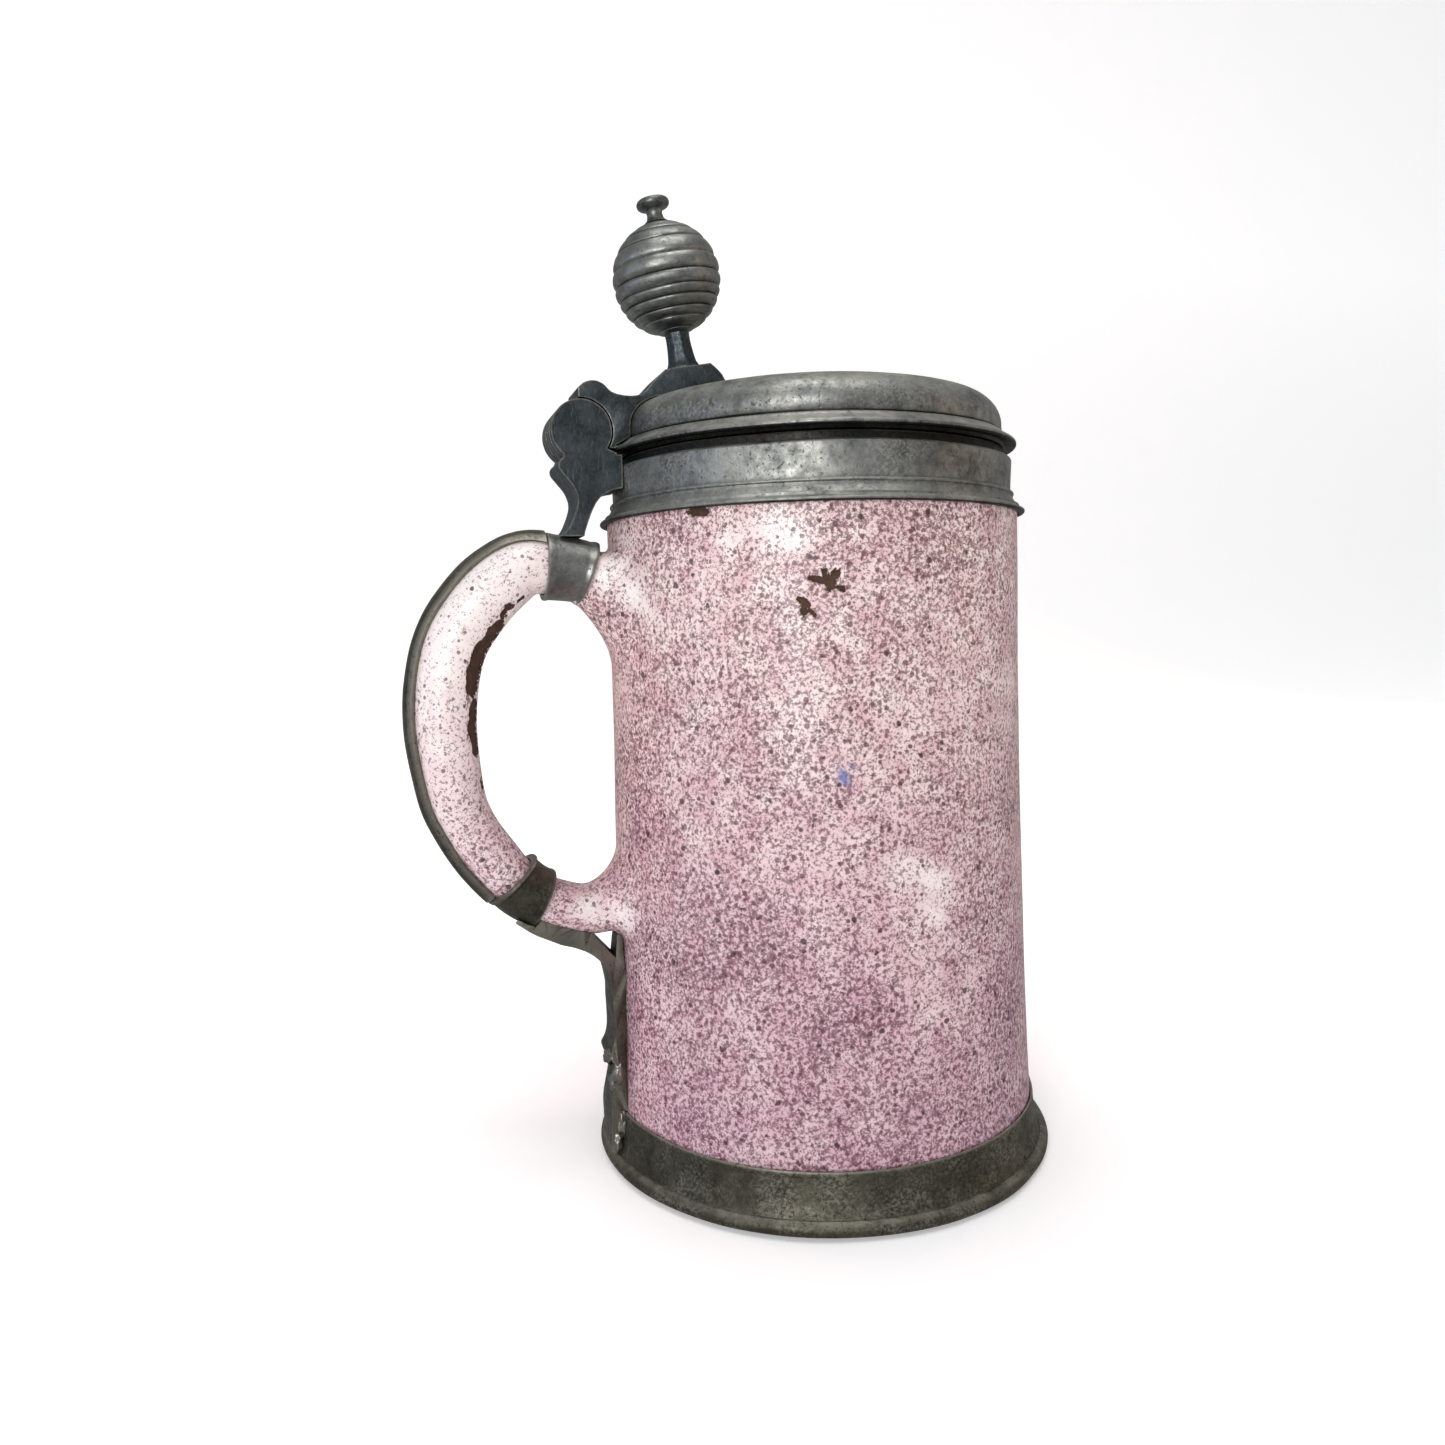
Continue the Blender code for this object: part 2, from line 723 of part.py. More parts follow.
def make_bracket(pewter, steel, bands):
    bracket = plate("hinge_bracket", bracket_outline(), HINGE_WIDTH)
    half = HINGE_WIDTH / 2
    boolean(bracket, "UNION", cylinder("bracket_knuckles", KNUCKLE_RADIUS, -half, half))
    clear_knuckles(bracket, knuckle_spans()[1::2], "bracket")
    boolean(bracket, "DIFFERENCE", pin_bore("bracket_bore"))
    boolean(bracket, "DIFFERENCE", turned("collar_gap", collar_cutter_outline()))
    boolean(bracket, "DIFFERENCE", turned("lid_gap_below", lid_cutter_outline()))
    boolean(bracket, "DIFFERENCE", bands["upper_gap"])
    keep(bracket, pewter)
    pin = cylinder("hinge_pin", PIN_RADIUS, -half + PIN_CAP + GAP, half - 0.0002, steps=24)
    keep(pin, steel)


def ball_radius_at(height):
    """Ribbed ball: its radius at a height above its middle."""
    half = BALL_HEIGHT / 2
    round_part = BALL_RADIUS * math.sqrt(max(1 - (height / half) ** 2, 0.0))
    ribs = BALL_RIB_DEPTH * (0.5 - 0.5 * math.cos(math.tau * height / BALL_RIB))
    return max(round_part - ribs, 0.0)


def ball_half_outline(sign):
    """Half of the hollow ball, above (1) or below (-1) its middle, open where stem or neck enters."""
    inner_half = BALL_HEIGHT / 2 - BALL_WALL
    inner_radius = BALL_RADIUS - BALL_WALL
    mouth = BUTTON_NECK if sign > 0 else STEM_WAIST
    steps = 14
    low = GAP / 2
    outer = []
    inner = []
    for step in range(steps + 1):
        angle = math.pi / 2 * step / steps
        height = low + (BALL_HEIGHT / 2 - low) * math.sin(angle)
        outer.append((max(ball_radius_at(height), mouth), height))
    top = next(index for index, point in enumerate(outer) if point[0] <= mouth)
    outer = outer[: top + 1]
    for step in range(steps // 2 + 1):
        angle = math.pi / 2 * step / (steps // 2)
        radius = inner_radius * math.cos(angle)
        if radius > mouth:
            inner.append((radius, low + (inner_half - low) * math.sin(angle)))
    inner.append((mouth, outer[-1][1] - BALL_WALL))
    loop = list(reversed(outer)) + inner
    return loop if sign > 0 else [(radius, -height) for radius, height in reversed(loop)]


def make_thumbpiece(pewter, pivot):
    base = thumb_base()
    axis = Vector((-math.sin(THUMB_LEAN), 0.0, math.cos(THUMB_LEAN)))
    stem = [
        (0.0, STEM_LENGTH),
        (STEM_WAIST, STEM_LENGTH),
        (STEM_WAIST, STEM_LENGTH * 0.75),
        (STEM_WAIST + 0.0004, STEM_LENGTH * 0.35),
        (STEM_RADIUS, GAP),
        (0.0, GAP),
    ]
    keep(turned("thumb_stem", stem, base, -THUMB_LEAN, SMALL_STEPS), pewter, pivot)
    middle = base + axis * (STEM_LENGTH + GAP + BALL_HEIGHT / 2 - BALL_WALL * 0.1)
    for name, sign in (("ball_lower", -1), ("ball_upper", 1)):
        half = turned(name, ball_half_outline(sign), middle, -THUMB_LEAN, SMALL_STEPS)
        keep(half, pewter, pivot)
    crest = middle + axis * (BALL_HEIGHT / 2 - BALL_WALL * 0.1 + GAP)
    button = [
        (0.0, BUTTON_HEIGHT),
        (BUTTON_RADIUS * 0.6, BUTTON_HEIGHT - 0.0002),
        (BUTTON_RADIUS * 0.93, BUTTON_HEIGHT - 0.0008),
        (BUTTON_RADIUS, BUTTON_HEIGHT - 0.0016),
        (BUTTON_RADIUS * 0.9, BUTTON_HEIGHT - 0.0024),
        (BUTTON_NECK, BUTTON_HEIGHT - 0.0032),
        (BUTTON_NECK, 0.0006),
        (BUTTON_NECK + 0.0006, 0.0),
        (0.0, 0.0),
    ]
    keep(turned("thumb_button", button, crest, -THUMB_LEAN, SMALL_STEPS), pewter, pivot)


def upper_band_start():
    return distance_where(lambda p: p.x < AXIS_X - JUG_TOP_RADIUS - UPPER_BAND_FROM)


def lower_band_start():
    return run_lengths(handle_line())[-1] * LOWER_BAND_AT - LOWER_BAND_LENGTH / 2


def upper_band_line(margin=0.0):
    return stretch(upper_band_start() - margin, UPPER_BAND_LENGTH + 2 * margin)


def lower_band_line(margin=0.0):
    return stretch(lower_band_start() - margin, LOWER_BAND_LENGTH + 2 * margin)


def upper_band_top():
    """Height of the upper band's top under the bracket."""
    point = upper_band_line()[4]
    return point.y + HANDLE_THICKNESS / 2 * point.z + GAP + BAND_THICKNESS - 0.0008


def make_bands(pewter):
    """The two sleeves round the handle, and copies of them a gap larger for what meets them."""
    bands = {}
    for side, line_of in (("upper", upper_band_line), ("lower", lower_band_line)):
        band = handle_sweep(f"{side}_handle_band", line_of(), GAP + BAND_THICKNESS)
        bore = handle_sweep(f"{side}_band_bore", line_of(0.0030), GAP)
        boolean(band, "DIFFERENCE", bore)
        keep(band, pewter)
        bands[f"{side}_gap"] = handle_sweep(
            f"{side}_band_gap", line_of(GAP), 2 * GAP + BAND_THICKNESS
        )
    return bands


def make_handle_strap(pewter):
    """Strap along the back of the handle from one sleeve to the other."""
    start = upper_band_start() + UPPER_BAND_LENGTH + GAP
    end = lower_band_start() - GAP
    line = stretch(start, end - start, 28)
    outer = offset_line(line, GAP + STRAP_THICKNESS)
    inner = offset_line(line, -0.0030)
    strap = plate("handle_strap", outer + list(reversed(inner)), STRAP_WIDTH)
    boolean(strap, "DIFFERENCE", handle_sweep("strap_bed", handle_line(), GAP))
    keep(strap, pewter)


def foot_strap_outline():
    """Side view: from under the lower sleeve, in below the handle's root, and down the wall to
    the foot ring, with a short arm that runs up the wall beside the root."""
    tail = offset_line(lower_band_line(), GAP + BAND_THICKNESS * 0.6)
    thick = FOOT_STRAP_THICKNESS

    def wall(height, out):
        return (AXIS_X - wall_radius(height) - GAP - out, height)

    start = Vector(tail[4])
    end = Vector(tail[-1])
    join = Vector(wall(FOOT_STRAP_JOIN, 0.0))
    outer = [
        tuple(start + Vector((-0.0006, -0.0010))),
        tuple(end + Vector((0.0008, -0.0022))),
        (join.x - 0.0090, join.y + 0.0036),
        (join.x - 0.0060, join.y + 0.0010),
        wall(FOOT_STRAP_JOIN - 0.0022, thick + 0.0012),
        wall(FOOT_STRAP_JOIN - 0.0070, thick),
        wall(FOOT_HEIGHT + 0.0180, thick),
        wall(FOOT_HEIGHT + 0.0060, thick),
        (AXIS_X - FOOT_RADIUS + 0.0004, FOOT_HEIGHT * 0.75),
        (AXIS_X - FOOT_RADIUS + 0.0006, FOOT_BEAD),
    ]
    inside = [
        (AXIS_X - JUG_FOOT_RADIUS + 0.0030, FOOT_BEAD),
        (AXIS_X - JUG_TOP_RADIUS + 0.0030, FOOT_STRAP_TOP),
    ]
    notch = [
        wall(FOOT_STRAP_TOP, thick * 0.45),
        wall(FOOT_STRAP_JOIN + 0.0012, thick * 0.62),
        (join.x - 0.0058, FOOT_STRAP_TOP - 0.0008),
        (join.x - 0.0100, FOOT_STRAP_TOP + 0.0050),
        tuple(end + Vector((0.0030, 0.0040))),
        tuple(start + Vector((0.0020, 0.0040))),
    ]
    return smooth_outline(outer) + inside + notch


def make_foot_strap(pewter, bands):
    strap = plate("foot_strap", foot_strap_outline(), FOOT_STRAP_WIDTH)
    boolean(strap, "DIFFERENCE", turned("wall_gap", wall_gap_outline()))
    boolean(strap, "DIFFERENCE", handle_sweep("root_gap", handle_line(), GAP))
    boolean(strap, "DIFFERENCE", bands["lower_gap"])
    boolean(strap, "DIFFERENCE", turned("foot_gap", foot_cutter_outline()))
    keep(strap, pewter)


def wall_gap_outline():
    """The jug's wall moved out by the gap, solid to the axis."""
    wall = wall_outline(GAP)
    return [(0.0, JUG_SHOULDER), *wall, (0.0, wall[-1][1])]


def make_repair(pewter):
    """Patch run on over a break in the strap, a little proud of it."""
    out = AXIS_X - wall_radius(REPAIR_HEIGHT) - GAP - FOOT_STRAP_THICKNESS - GAP
    half = REPAIR_LENGTH / 2
    outline = [
        (out, REPAIR_HEIGHT + half),
        (out - REPAIR_THICKNESS * 0.7, REPAIR_HEIGHT + half * 0.75),
        (out - REPAIR_THICKNESS, REPAIR_HEIGHT + half * 0.1),
        (out - REPAIR_THICKNESS * 0.6, REPAIR_HEIGHT - half * 0.7),
        (out, REPAIR_HEIGHT - half),
    ]
    keep(plate("strap_repair", outline, FOOT_STRAP_WIDTH * 0.72), pewter)


def main():
    glaze = material("speckled_tin_glaze", (0.60, 0.40, 0.42), 0.16)
    pewter = material("dark_pewter", (0.13, 0.145, 0.15), 0.42, 1.0)
    steel = material("iron_pin", (0.20, 0.19, 0.18), 0.45, 1.0)
    plaster = material("plaster", (0.62, 0.58, 0.50), 0.9)

    pivot = bpy.data.objects.new("lid_pivot", None)
    pivot.location = HINGE
    PARTS.objects.link(pivot)

    make_jug(glaze)
    make_foot(pewter, plaster)
    make_collar(pewter, plaster)
    make_lid(pewter, pivot)
    bands = make_bands(pewter)
    make_bracket(pewter, steel, bands)
    make_handle_strap(pewter)
    make_foot_strap(pewter, bands)
    make_repair(pewter)


clear_scene()
PARTS = collection("pewter_mounted_tankard")
CUTTERS = collection("cutters")
main()
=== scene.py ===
"""Glazed earthenware tankard with pewter mounts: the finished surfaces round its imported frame."""

import math
from functools import partial
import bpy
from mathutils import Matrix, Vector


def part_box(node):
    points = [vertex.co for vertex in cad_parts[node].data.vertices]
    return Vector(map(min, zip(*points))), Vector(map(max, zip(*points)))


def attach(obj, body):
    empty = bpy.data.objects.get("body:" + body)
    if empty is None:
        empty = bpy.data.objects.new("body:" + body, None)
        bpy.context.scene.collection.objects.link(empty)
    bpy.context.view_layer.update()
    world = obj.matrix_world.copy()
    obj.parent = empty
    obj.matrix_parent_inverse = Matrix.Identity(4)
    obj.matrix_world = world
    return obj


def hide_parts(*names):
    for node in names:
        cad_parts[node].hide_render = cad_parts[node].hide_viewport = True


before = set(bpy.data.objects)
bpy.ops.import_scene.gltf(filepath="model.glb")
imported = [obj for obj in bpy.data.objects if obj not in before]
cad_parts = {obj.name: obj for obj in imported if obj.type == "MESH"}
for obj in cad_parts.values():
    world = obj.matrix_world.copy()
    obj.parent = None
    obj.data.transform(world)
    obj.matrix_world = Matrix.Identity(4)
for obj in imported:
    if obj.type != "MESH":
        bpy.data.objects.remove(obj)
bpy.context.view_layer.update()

from types import SimpleNamespace

import bmesh
import bpy
from bpy.props import FloatProperty, FloatVectorProperty, PointerProperty
from mathutils import Matrix, Vector, noise

bl_info = {
    "name": "Pewter-mounted tankard",
    "version": (1, 0, 0),
    "blender": (4, 5, 0),
    "location": "View3D > Sidebar > Tankard",
    "description": "Makes the finished surfaces of a faience tankard with pewter mounts",
    "category": "Add Mesh",
}

# ---------------------------------------------------------------- sizes and colours


def linear(code):
    """An sRGB hex colour as linear red, green and blue."""
    channels = [int(code[index : index + 2], 16) / 255 for index in (1, 3, 5)]
    return tuple(c / 12.92 if c <= 0.04045 else ((c + 0.055) / 1.055) ** 2.4 for c in channels)


def middle(node):
    low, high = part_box(node)
    return (low + high) / 2


def spread(node, axis):
    low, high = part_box(node)
    return high[axis] - low[axis]


def length(name, description, default):
    kind = {"min": 0.0, "unit": "LENGTH", "subtype": "DISTANCE", "precision": 5}
    return FloatProperty(name=name, description=description, default=default, **kind)


def colour(name, description, code):
    kind = {"min": 0.0, "max": 1.0, "subtype": "COLOR", "size": 3}
    return FloatVectorProperty(name=name, description=description, default=linear(code), **kind)


class TankardSizes(bpy.types.PropertyGroup):
    jug_top_radius: length("Jug top radius", "Outside of the wall at the shoulder", 0.0504)
    jug_foot_radius: length("Jug foot radius", "Outside of the wall at the foot ring", 0.0528)
    jug_waist: length("Jug waist", "How far the wall is drawn in halfway up", 0.0008)
    jug_wall: length("Jug wall", "Thickness of the fired wall", 0.0048)
    shoulder: length("Shoulder height", "Where the wall steps in to the neck", 0.1571)
    rim_top: length("Rim height", "Top of the clay rim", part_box("faience_jug")[1].z)
    handle_reach: length("Handle reach", "From the wall to the middle of the bow", 0.0409)
    handle_top: length("Handle top", "Height of the upper arm's middle", 0.1453)
    handle_low: length("Handle low", "Height of the lower arm's middle", 0.0634)
    handle_thickness: length("Handle thickness", "Through the bow, in its plane", 0.0140)
    handle_width: length("Handle width", "Across the bow", 0.0180)
    foot_radius: length("Foot radius", "Outside of the foot ring", spread("foot_ring", 0) / 2)
    foot_height: length("Foot height", "Height of the foot ring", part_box("foot_ring")[1].z)
    collar_top: length("Collar top", "Top of the rim collar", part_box("rim_collar")[1].z)
    collar_bottom: length("Collar bottom", "Edge of the flare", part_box("rim_collar")[0].z)
    lid_rise: length("Lid rise", "Underside of the lip to the crown", 0.0178)
    lid_lip_radius: length("Lid lip radius", "Outside of the lip", spread("lid", 1) / 2)
    hinge_width: length("Hinge width", "Across the five knuckles", 0.0135)
    knuckle_radius: length("Knuckle radius", "Round the hinge pin", 0.0070)
    ball_radius: length("Ball radius", "Ribbed ball of the thumbpiece", 0.0128)
    band_thickness: length("Band thickness", "Sheet of the two sleeves", 0.0014)
    strap_width: length("Strap width", "Strap along the handle's back", 0.0088)
    strap_thickness: length("Strap thickness", "At its crest", 0.0021)
    foot_strap_width: length("Foot strap width", "Strap down the wall", 0.0124)
    foot_strap_thickness: length("Foot strap thickness", "Proud of the wall", 0.0030)


class TankardColours(bpy.types.PropertyGroup):
    glaze_pale: colour("Glaze, pale", "Tin-white ground between the speckles", "#e7d6d2")
    glaze_white: colour("Glaze, white", "Where the sponge was wiped thin", "#ebe5e2")
    glaze_rose: colour("Glaze, rose", "Ground where manganese has bled", "#d0a9ad")
    glaze_mauve: colour("Glaze, mauve", "Ground low on the wall", "#bd93ac")
    speckle: colour("Speckle", "Fine manganese speckles", "#552431")
    speckle_dark: colour("Speckle, dark", "Larger manganese spots", "#35161d")
    cobalt: colour("Cobalt", "One stray blue spot", "#5a6fa8")
    clay: colour("Clay", "Fired body where the glaze has chipped", "#5c3c28")
    pewter: colour("Pewter", "Worn metal", "#b6b6b0")
    # also laid in the hollows as painted shade
    pewter_dark: colour("Pewter, dark", "Oxide in the hollows", "#33393c")
    # pale tone for dust and rubbed edges, also laid on upward faces and edges as painted top light and
    # painted edge highlight
    pewter_dust_and_light: colour("Pewter, dusty", "Pale film on upward faces", "#b3b0a2")
    hinge_metal: colour("Hinge pewter", "Handled blue-grey plates", "#61686c")
    hinge_dark: colour("Hinge pewter, dark", "Oxide on the plates", "#23282b")
    olive: colour("Old pewter", "Brown-black metal of foot and straps", "#6a6658")
    olive_dark: colour("Old pewter, dark", "Deep oxide of foot and straps", "#26231d")
    # painted shade: near-black laid in the recesses under the lip, in the lid's groove and under the
    # flare
    grime: colour("Grime", "Black dirt caught under the lip", "#120f0c")
    solder: colour("Solder", "Brighter repair metal", "#bab6aa")
    iron: colour("Iron", "Hinge pin", "#5a5550")
    plaster: colour("Plaster", "Bedding under the mounts", "#cfc6b4")
    backdrop: colour("Backdrop", "Floor and wall of the stage", "#f7f7f7")


AXIS = middle("foot_ring").x * 1000
HINGE = middle("hinge_pin") * 1000
HINGE.y = 0.0
LOWER_BAND_X = middle("lower_handle_band").x * 1000
GAP = 0.3  # millimetres between pieces that are soldered, bedded or seated on each other


def measures():
    """The sizes in millimetres, with those that follow from them."""
    sizes = bpy.context.scene.tankard_sizes
    mm = SimpleNamespace(**{name: getattr(sizes, name) * 1000 for name in TankardSizes.__annotations__})
    mm.neck_radius = mm.jug_top_radius - 5.0
    mm.collar_radius = mm.lid_lip_radius - 1.2
    mm.lid_radius = mm.lid_lip_radius - 3.4
    mm.lid_base = mm.collar_top + GAP
    mm.crown = mm.lid_base + mm.lid_rise
    return mm


# ---------------------------------------------------------------- kinds of shape, in millimetres


def lines_through(points, steps=6):
    """Points on a smooth line through the given vectors (Catmull-Rom)."""
    ends = [points[0] * 2 - points[1], *points, points[-1] * 2 - points[-2]]
    line = []
    for before, start, end, after in zip(ends, ends[1:], ends[2:], ends[3:]):
        for step in range(steps):
            t = step / steps
            line.append(
                (
                    start * 2
                    + (end - before) * t
                    + (before * 2 - start * 5 + end * 4 - after) * t**2
                    + (start * 3 - before - end * 3 + after) * t**3
                )
                / 2
            )
    return line + [points[-1]]


def curve_through(pairs, steps=6):
    return [(p.x, p.y) for p in lines_through([Vector(pair) for pair in pairs], steps)]


def arc(centre, radius, start, end, steps=8):
    """Points round part of a circle, angles in degrees from +radius towards +height."""
    points = []
    for step in range(steps + 1):
        angle = math.radians(start + (end - start) * step / steps)
        points.append((centre[0] + radius * math.cos(angle), centre[1] + radius * math.sin(angle)))
    return points


def tidied(shape):
    bmesh.ops.remove_doubles(shape, verts=shape.verts, dist=0.002)
    bmesh.ops.recalc_face_normals(shape, faces=shape.faces)
    return shape


def spun(outline, steps=168, flutes=0, depth=0.0):
    """A turned shape round Z from (radius, height) points, closed on the axis or on itself."""
    shape = bmesh.new()
    corners = [shape.verts.new((radius, 0.0, height)) for radius, height in outline]
    for first, second in zip(corners, corners[1:]):
        shape.edges.new((first, second))
    if outline[0][0] > 0.0:
        shape.edges.new((corners[-1], corners[0]))
    bmesh.ops.spin(
        shape, geom=shape.verts[:] + shape.edges[:], cent=(0.0, 0.0, 0.0), axis=(0.0, 0.0, 1.0),
        angle=math.tau, steps=steps, use_merge=True,
    )
    for vert in shape.verts:
        if flutes:
            turn = math.atan2(vert.co.y, vert.co.x)
            vert.co.xy *= 1 - depth * (0.5 - 0.5 * math.cos(flutes * turn))
    return tidied(shape)


def placed(shape, place, lean=0.0):
    """The shape leaned about Y and moved to its place."""
    if lean:
        bmesh.ops.rotate(shape, verts=shape.verts, matrix=Matrix.Rotation(lean, 3, "Y"))
    bmesh.ops.translate(shape, verts=shape.verts, vec=Vector(place))
    return shape


def turned(outline, steps=168):
    """A turned shape on the jug's axis."""
    return placed(spun(outline, steps), (AXIS, 0.0, 0.0))


def slab(outline, width, layers=1):
    """A flat outline of (x, z) points made as thick as the width, centred on y = 0."""
    shape = bmesh.new()
    corners = [shape.verts.new((x, -width / 2, z)) for x, z in outline]
    first = [shape.faces.new(corners)]
    faces = first
    for _ in range(layers):
        grown = bmesh.ops.extrude_face_region(shape, geom=faces)["geom"]
        moved = [item for item in grown if isinstance(item, bmesh.types.BMVert)]
        if faces != first:
            bmesh.ops.delete(shape, geom=faces, context="FACES_ONLY")
        faces = [item for item in grown if isinstance(item, bmesh.types.BMFace)]
        bmesh.ops.translate(shape, verts=moved, vec=(0.0, width / layers, 0.0))
    return tidied(shape)


def drum(radius, y_from, y_to, centre, steps=64):
    """A round bar along Y."""
    shape = bmesh.new()
    bmesh.ops.create_cone(
        shape, cap_ends=True, segments=steps, radius1=radius, radius2=radius, depth=y_to - y_from
    )
    bmesh.ops.rotate(shape, verts=shape.verts, matrix=Matrix.Rotation(math.pi / 2, 3, "X"))
    return placed(shape, (centre.x, (y_from + y_to) / 2, centre.z))


def softened(shape):
    """The shape with its sharp edges rounded, as filing and wear leave them."""
    limit = math.radians(32)
    edges = [e for e in shape.edges if len(e.link_faces) == 2 and e.calc_face_angle(0) > limit]
    bmesh.ops.bevel(
        shape, geom=edges, offset=0.35, offset_type="OFFSET", segments=2, profile=0.5,
        affect="EDGES", clamp_overlap=True, material=-1,
    )
    return tidied(shape)


def loose(shape):
    """The shape as an object of its own, for a Boolean."""
    mesh = bpy.data.meshes.new("loose")
    shape.to_mesh(mesh)
    shape.free()
    obj = bpy.data.objects.new("loose", mesh)
    bpy.context.scene.collection.objects.link(obj)
    return obj


def combined(shape, operation, *others):
    """The shape joined with the others (UNION) or cut by them (DIFFERENCE)."""
    objects = [loose(item) for item in (shape, *others)]
    for other in objects[1:]:
        modifier = objects[0].modifiers.new("join", "BOOLEAN")
        modifier.operation = operation
        modifier.solver = "EXACT"
        modifier.object = other
    bpy.context.view_layer.update()
    graph = bpy.context.evaluated_depsgraph_get()
    mesh = bpy.data.meshes.new_from_object(objects[0].evaluated_get(graph))
    result = bmesh.new()
    result.from_mesh(mesh)
    bpy.data.meshes.remove(mesh)
    for obj in objects:
        mesh = obj.data
        bpy.data.objects.remove(obj)
        bpy.data.meshes.remove(mesh)
    return tidied(result)


def joined(shape, *others):
    """Closed shapes put in one mesh as they are."""
    for other in others:
        mesh = bpy.data.meshes.new("part")
        other.to_mesh(mesh)
        other.free()
        shape.from_mesh(mesh)
        bpy.data.meshes.remove(mesh)
    return shape


def worn(shape, amount, size, shift=0.0):
    """Moves the surface by a soft random field, as hand work and wear leave it. Neighbours that
    share the field keep their distance."""
    noise.seed_set(1)  # or else the field would be a new one each time
    for vert in shape.verts:
        vert.co += noise.noise_vector(vert.co / size + Vector((shift, shift, shift))) * amount
    return shape


def finish_piece(name, shape, finish, body, slot, *nodes):
    """Makes the piece: metres, smooth shading, its finish, its body and the nodes it stands for."""
    bmesh.ops.scale(shape, verts=shape.verts, vec=(0.001, 0.001, 0.001))
    mesh = bpy.data.meshes.new(name)
    shape.to_mesh(mesh)
    shape.free()
    mesh.shade_smooth()
    mesh.set_sharp_from_angle(angle=math.radians(38))
    obj = bpy.data.objects.new(name, mesh)
    bpy.context.scene.collection.objects.link(obj)
    mesh.materials.append(finish_named(finish))
    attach(obj, body)
    if nodes:
        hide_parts(*nodes)


def dress(name, finish):
    """Gives a plain node its finish."""
    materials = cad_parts[name].data.materials
    materials.clear()
    materials.append(finish_named(finish))


# ---------------------------------------------------------------- the handle's line


def handle_line(mm):
    """The middle line of the handle as (x, z, fullness) vectors, every 0.7 mm or so."""
    shape = (
        (-0.09, 0.935, 0.86), (0.078, 0.963, 0.86), (0.235, 0.989, 0.84), (0.479, 0.999, 0.94),
        (0.631, 0.960, 1.02), (0.795, 0.878, 1.05), (0.932, 0.762, 1.04), (0.991, 0.581, 1.02),
        (0.956, 0.385, 0.94), (0.890, 0.282, 0.88), (0.765, 0.179, 0.88), (0.570, 0.067, 0.80),
        (0.284, 0.002, 0.83), (0.064, 0.000, 0.83), (-0.09, 0.000, 0.83),
    )
    rise = mm.handle_top - mm.handle_low
    points = [
        Vector((AXIS - mm.jug_top_radius - out * mm.handle_reach, mm.handle_low + up * rise, full))
        for out, up, full in shape
    ]
    return lines_through(points, 20)


def stations(line, start, end, count):
    """Evenly spaced (point, outward) places between two distances along the line."""
    run = [0.0]
    for first, second in zip(line, line[1:]):
        run.append(run[-1] + (second.xy - first.xy).length)
    places = []
    index = 0
    for step in range(count + 1):
        at = min(start + (end - start) * step / count, run[-1] - 1e-6)
        while run[index + 1] < at:
            index += 1
        share = (at - run[index]) / (run[index + 1] - run[index])
        point = line[index].lerp(line[index + 1], share)
        before, after = line[max(index - 2, 0)], line[min(index + 3, len(line) - 1)]
        along = (after.xy - before.xy).normalized()
        places.append((point, Vector((along.y, -along.x))))
    return places


def distance_at(line, test):
    """Distance along the line to the first point that passes the test, or else to its end."""
    total = 0.0
    for first, second in zip(line, line[1:]):
        if test(second):
            break
        total += (second.xy - first.xy).length
    return total


def upper_band_span(mm, line):
    start = distance_at(line, lambda p: p.x < AXIS - mm.jug_top_radius - 6.4)
    return start, start + 10.6


def lower_band_span(mm, line):
    centre = distance_at(line, lambda p: p.x > LOWER_BAND_X and p.y < mm.handle_top - 20)
    return centre - 4.6, centre + 4.6


def loft(rings, loop=False):
    """A skin through rings of as many points each, made by extruding the first ring on, with its
    ends filled or, as a loop, joined."""
    shape = bmesh.new()
    ring = list(bmesh.ops.create_circle(shape, segments=len(rings[0]), radius=1.0)["verts"])
    first = edges = shape.edges[:]
    for vert, point in zip(ring, rings[0]):
        vert.co = point
    for points in rings[1:]:
        grown = bmesh.ops.extrude_edge_only(shape, edges=edges)["geom"]
        edges = [item for item in grown if isinstance(item, bmesh.types.BMEdge)]
        ring = [
            next(e.other_vert(vert) for e in vert.link_edges if e.other_vert(vert) in grown)
            for vert in ring
        ]
        edges = [e for e in edges if e.verts[0] in ring and e.verts[1] in ring]
        for vert, point in zip(ring, points):
            vert.co = point
    if loop:
        bmesh.ops.bridge_loops(shape, edges=first + edges)
    else:
        bmesh.ops.holes_fill(shape, edges=first + edges, sides=0)
    return tidied(shape)


FULLNESS = 2.15  # power of the handle's section: an ellipse, 2, with slightly fuller shoulders


def half_sizes(mm, point):
    """Half the handle's width and thickness at a point of its line."""
    return mm.handle_width / 2 * point.z, mm.handle_thickness / 2 * point.z


def oval(mm, place, grown=0.0, steps=96):
    """A ring of points round the handle's line, on its surface or grown out from it."""
    point, outward = place
    half_across, half_through = (half + grown for half in half_sizes(mm, point))
    ring = []
    for step in range(steps):
        turn = math.tau * step / steps
        c, s = math.cos(turn), math.sin(turn)
        swell = (abs(c) ** FULLNESS + abs(s) ** FULLNESS) ** (-1 / FULLNESS)
        across, out = half_across * c * swell, half_through * s * swell
        ring.append(Vector((point.x + outward.x * out, across, point.y + outward.y * out)))
    return ring


# ---------------------------------------------------------------- finishes

TIMES, PLUS, LESS, MOST = ({"operation": name} for name in ("MULTIPLY", "ADD", "SUBTRACT", "MAXIMUM"))
TONES = {"data_type": "RGBA"}


